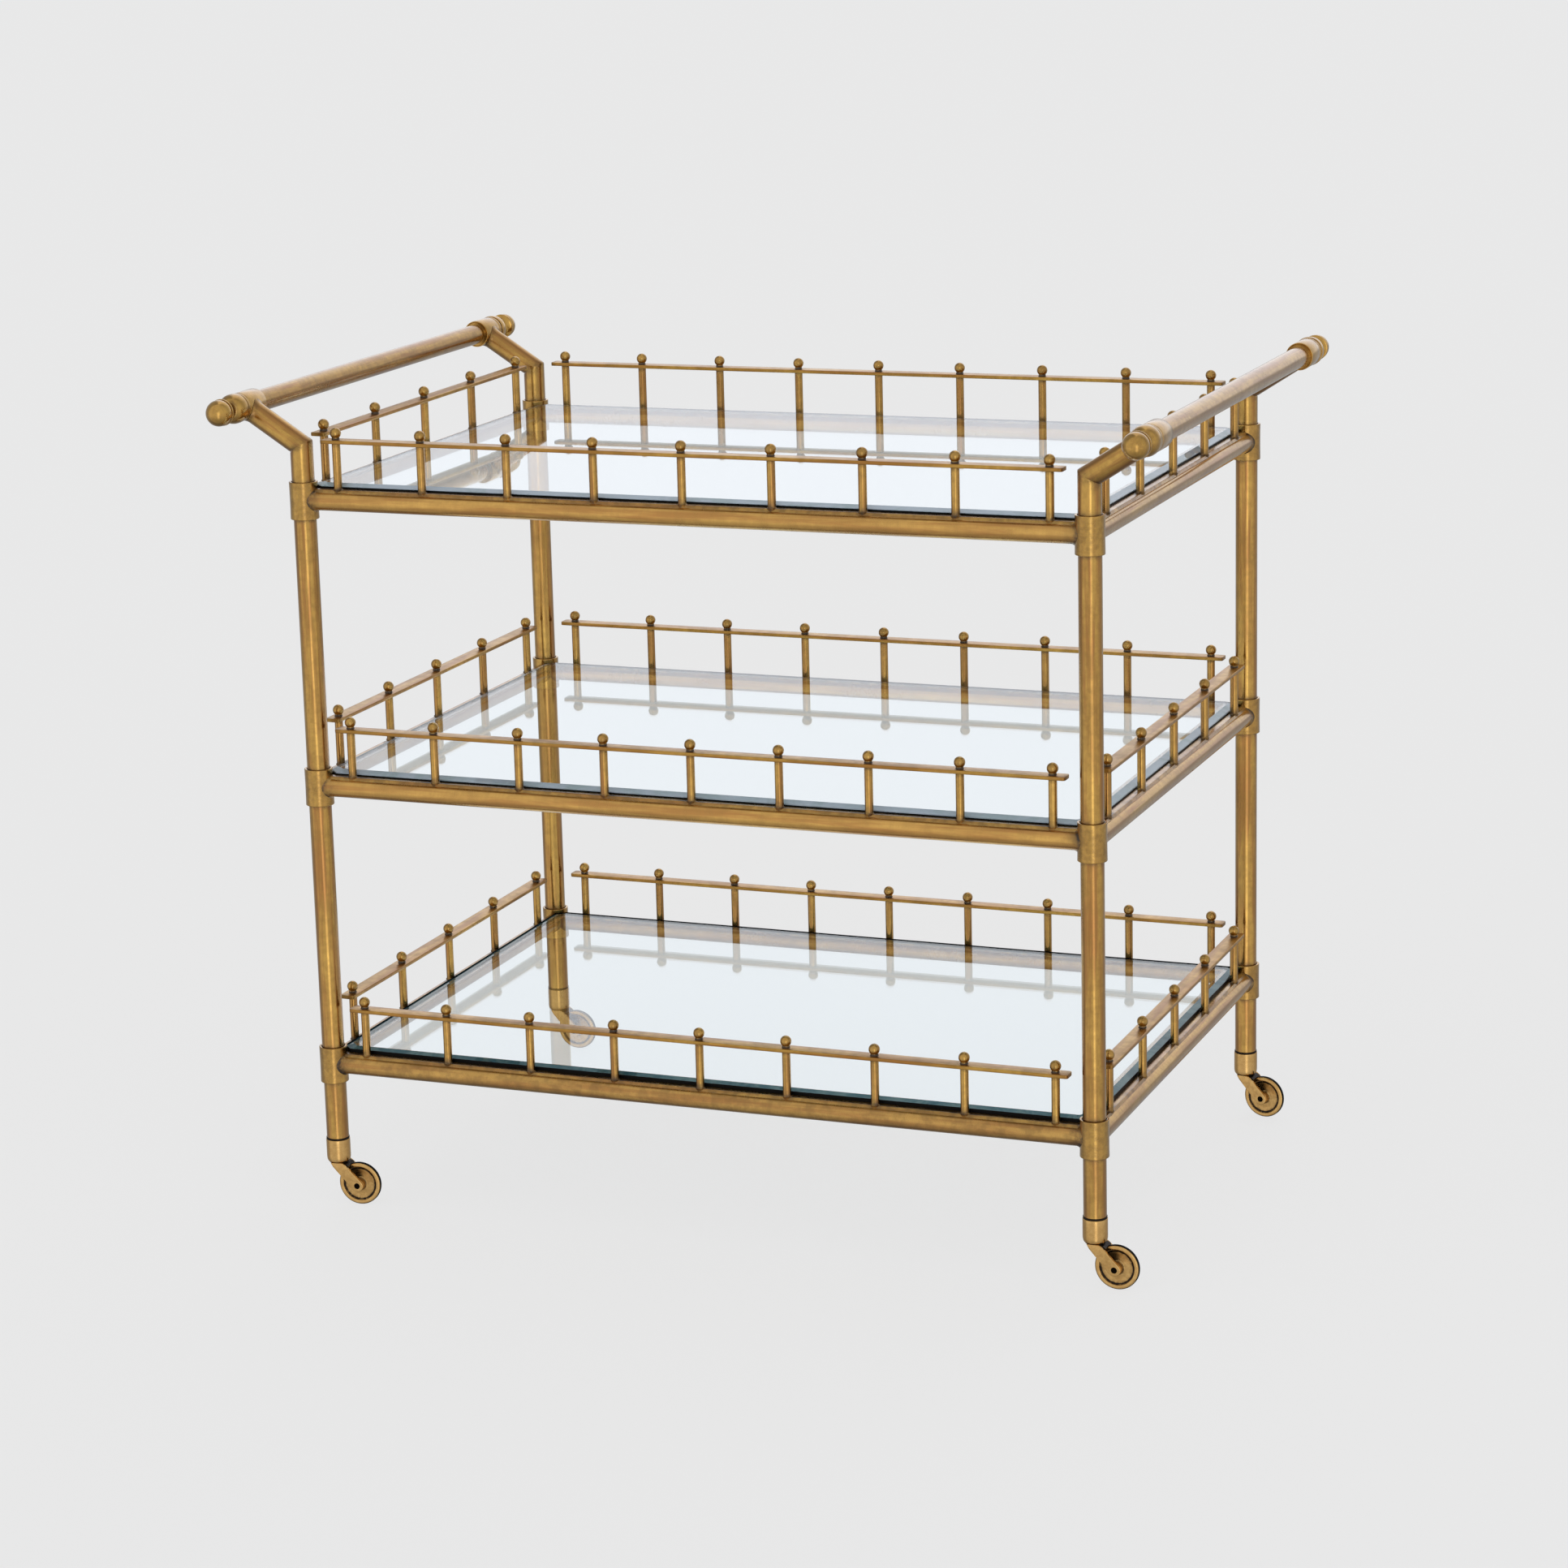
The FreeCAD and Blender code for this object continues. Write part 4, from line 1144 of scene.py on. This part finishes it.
# painted shadow inside the rim, painted shade round the hub and in the bore, over the web's own tone
wheelStainAndShade = np.max([
    wheel["grooveDarkening"] * glow(r - wheel["rimInner"] + 0.8, wheel["grooveReach"]),
    wheel["webDarkening"] * (r < wheel["rimInner"]),
    wheel["hubShade"] * glow(r - wheel["hubRadius"] - 0.7, 1.0),
    wheel["boreShade"] * (r < caster["axleRadius"] + 0.3),
], 0)
axleEnd, r = caster["halfWidth"] - caster["axleRecess"], caster["axleRadius"]
axleProfile = [(0.3, -axleEnd + 0.5), (1.4, -axleEnd), (r - 0.4, -axleEnd), (r, 0.4 - axleEnd),
               (r, axleEnd - 0.4), (r - 0.4, axleEnd), (1.4, axleEnd), (0.3, axleEnd - 0.5)]
r, head = caster["stemRadius"], caster["headRadius"]
crownLow = caster["crownTop"] - caster["crownThickness"]
stemProfile = [(0.3, crownLow - 1.6), (head - 1.2, crownLow - 1.5), (head, crownLow - 0.7),
               (head, crownLow + 0.2), (r, crownLow + 0.3), (r, caster["stemTop"]), (0.3, caster["stemTop"])]
axleShape, stemShape = softened(axleProfile, caster["pinRound"]), softened(stemProfile, caster["pinRound"])
fork = [makePlate(-1), makePlate(1), makeCrown(), makeWeb()]
stem = [surface(turned(stemShape, caster["pinColumns"]), caster["stemStain"])]
# painted shade: the axle's recessed ends darkened near black over the dark steel
axle = [surface(onAxle(axleShape, caster["pinColumns"]), caster["axleShade"])]
rim = [surface(onAxle(wheelShape, wheel["columns"]), wheelStainAndShade[:, None], wrapRows=True)]
tyre = [surface(onAxle(tyreProfile(), wheel["columns"]), wrapRows=True)]
casterParts = [
    ("caster_fork_", "swivel_", "caster_brass", paleBrass, fork),
    ("caster_stem_", "swivel_", "caster_steel", darkSteel, stem),
    ("caster_axle_", "swivel_", "caster_steel", darkSteel, axle),
    ("caster_wheel_", "wheel_", "caster_brass", paleBrass, rim),
    ("caster_tyre_", "wheel_", "black_tyre", blackTyre, tyre),
]
for corner in corners:
    heading = (axleAt[corner] - legAt[corner])[:2] / trail
    axes = (heading[0], heading[1], 0), (-heading[1], heading[0], 0), (0, 0, 1)
    for prefix, body, slotName, material, shapes in casterParts:
        turnedShapes = [s | {"points": placed(s["points"], *axes, legAt[corner])} for s in shapes]
        buildPiece(prefix + corner, "cast", material, turnedShapes, body + corner)
print("casters made")


# Floor, light and camera

studio = {
    "floorHalf": 40.0,
    "floorGrey": 0.856, "floorGlow": 0.85,       # share of the floor's light that is its own
    "backdrop": 0.807, "brightest": 1.5,
    # light at turns in degrees, 0 in front and 90 at +X: all round, a narrow strip beside the camera,
    # and a screen behind the trolley
    "round": [(-180, 0.40), (-115, 0.40), (-82, 0.42), (-58, 0.80), (60, 0.76), (95, 0.66), (125, 0.50),
              (155, 0.40), (180, 0.40)],
    "strip": [(-180, 0.0), (12, 0.0), (19, 0.85), (29, 0.85), (37, 0.0), (180, 0.0)],
    "screen": [(-180, 0.66), (-154, 0.66), (-138, 0.0), (130, 0.0), (152, 0.28), (164, 0.50), (180, 0.66)],
    "screenTint": (0.96, 0.98, 1.07, 1),
    "azimuth": 21.614, "elevation": 13.750, "roll": -1.475,
    "position": (1.7055, -4.3388, 1.5954),
    "lens": 95.11, "sensor": 36.0,
}


def makeFloor():
    # Plain square whose grey is partly its own light, so that it stays even
    half = studio["floorHalf"]
    mesh = bpy.data.meshes.new("floor")
    square = [(-half, -half, 0), (half, -half, 0), (half, half, 0), (-half, half, 0)]
    mesh.from_pydata(square, [], [(0, 1, 2, 3)])
    material = bpy.data.materials.new("floor")
    material.use_nodes = True
    tree = material.node_tree
    tree.nodes.clear()
    grey = (studio["floorGrey"],) * 3 + (1,)
    own = node(tree, "Emission", {"Color": grey, "Strength": 1.0})
    lit = node(tree, "BsdfDiffuse", {"Color": grey})
    mixed = node(tree, "MixShader", {0: studio["floorGlow"]}, _1=lit.outputs[0], _2=own.outputs[0])
    node(tree, "OutputMaterial", Surface=mixed.outputs[0])
    mesh.materials.append(material)
    floor = bpy.data.objects.new("floor", mesh)
    scene.collection.objects.link(floor)
    floor.visible_glossy = False


def makeWorld():
    # Soft studio: light as a function of direction, with a narrow bright strip beside the camera,
    # dimmer sides behind the trolley and a bright screen that the glass tops mirror
    world = bpy.data.worlds.new("studio")
    scene.world = world
    world.use_nodes = True
    tree = world.node_tree
    tree.nodes.clear()
    direction = node(tree, "TexCoord").outputs["Generated"]
    parts = node(tree, "SeparateXYZ", _0=direction)
    x, y, z = parts.outputs
    turn = calculate(tree, "ARCTAN2", x, times(tree, y, -1.0))
    lap = plus(tree, calculate(tree, "DIVIDE", turn, float(2 * np.pi)), 0.5)

    def roundLight(stops):                       # joined smoothly
        ramp = node(tree, "ValToRGB", _0=lap)
        ramp.color_ramp.interpolation = "EASE"
        elements = ramp.color_ramp.elements
        while len(elements) < len(stops):
            elements.new(0.5)
        for element, (degrees, light) in zip(elements, stops):
            element.position = degrees / 360 + 0.5
            element.color = (light / studio["brightest"],) * 3 + (1,)
        return times(tree, ramp.outputs[0], studio["brightest"])

    light = roundLight(studio["round"])
    light = times(tree, light, remap(tree, z, -1.0, -0.2, 0.42, 1, False))        # dimmer from below
    light = times(tree, light, remap(tree, z, 0.0, 0.9, 1, 0.85, False))          # and from above
    strip = roundLight(studio["strip"])
    strip = times(tree, strip, remap(tree, z, -0.75, -0.5, 0, 1))
    strip = times(tree, strip, remap(tree, z, 0.15, 0.45, 1, 0))
    light = plus(tree, light, strip)
    screen = roundLight(studio["screen"])
    screen = times(tree, screen, remap(tree, z, -0.04, 0.08, 0, 1))
    light = plus(tree, light, screen)
    cool = blendColours(tree, screen, (1, 1, 1, 1), studio["screenTint"])
    plain = node(tree, "Background", {"Color": (studio["backdrop"],) * 3 + (1,), "Strength": 1.0})
    lit = node(tree, "Background", Color=cool, Strength=light)
    seen = node(tree, "LightPath").outputs["Is Camera Ray"]
    mixed = node(tree, "MixShader", _0=seen, _1=lit.outputs[0], _2=plain.outputs[0])
    node(tree, "OutputWorld", Surface=mixed.outputs[0])


def makeCamera():
    # Looks along (-sin a cos e, cos a cos e, -sin e), rolled about that line
    a, e, r = (np.radians(studio[key]) for key in ("azimuth", "elevation", "roll"))
    forward = Vector((-np.sin(a) * np.cos(e), np.cos(a) * np.cos(e), -np.sin(e)))
    right = forward.cross(Vector((0, 0, 1))).normalized()
    upward = right.cross(forward)
    turnedRight = right * np.cos(r) + upward * np.sin(r)
    turnedUp = upward * np.cos(r) - right * np.sin(r)
    data = bpy.data.cameras.new("camera")
    data.lens, data.sensor_width, data.sensor_fit = studio["lens"], studio["sensor"], "HORIZONTAL"
    data.clip_end = 200
    camera = bpy.data.objects.new("camera", data)
    camera.matrix_world = Matrix((turnedRight, turnedUp, -forward)).transposed().to_4x4()
    camera.location = studio["position"]
    scene.collection.objects.link(camera)
    scene.camera = camera


makeFloor()
makeWorld()
makeCamera()
print("scene ready")
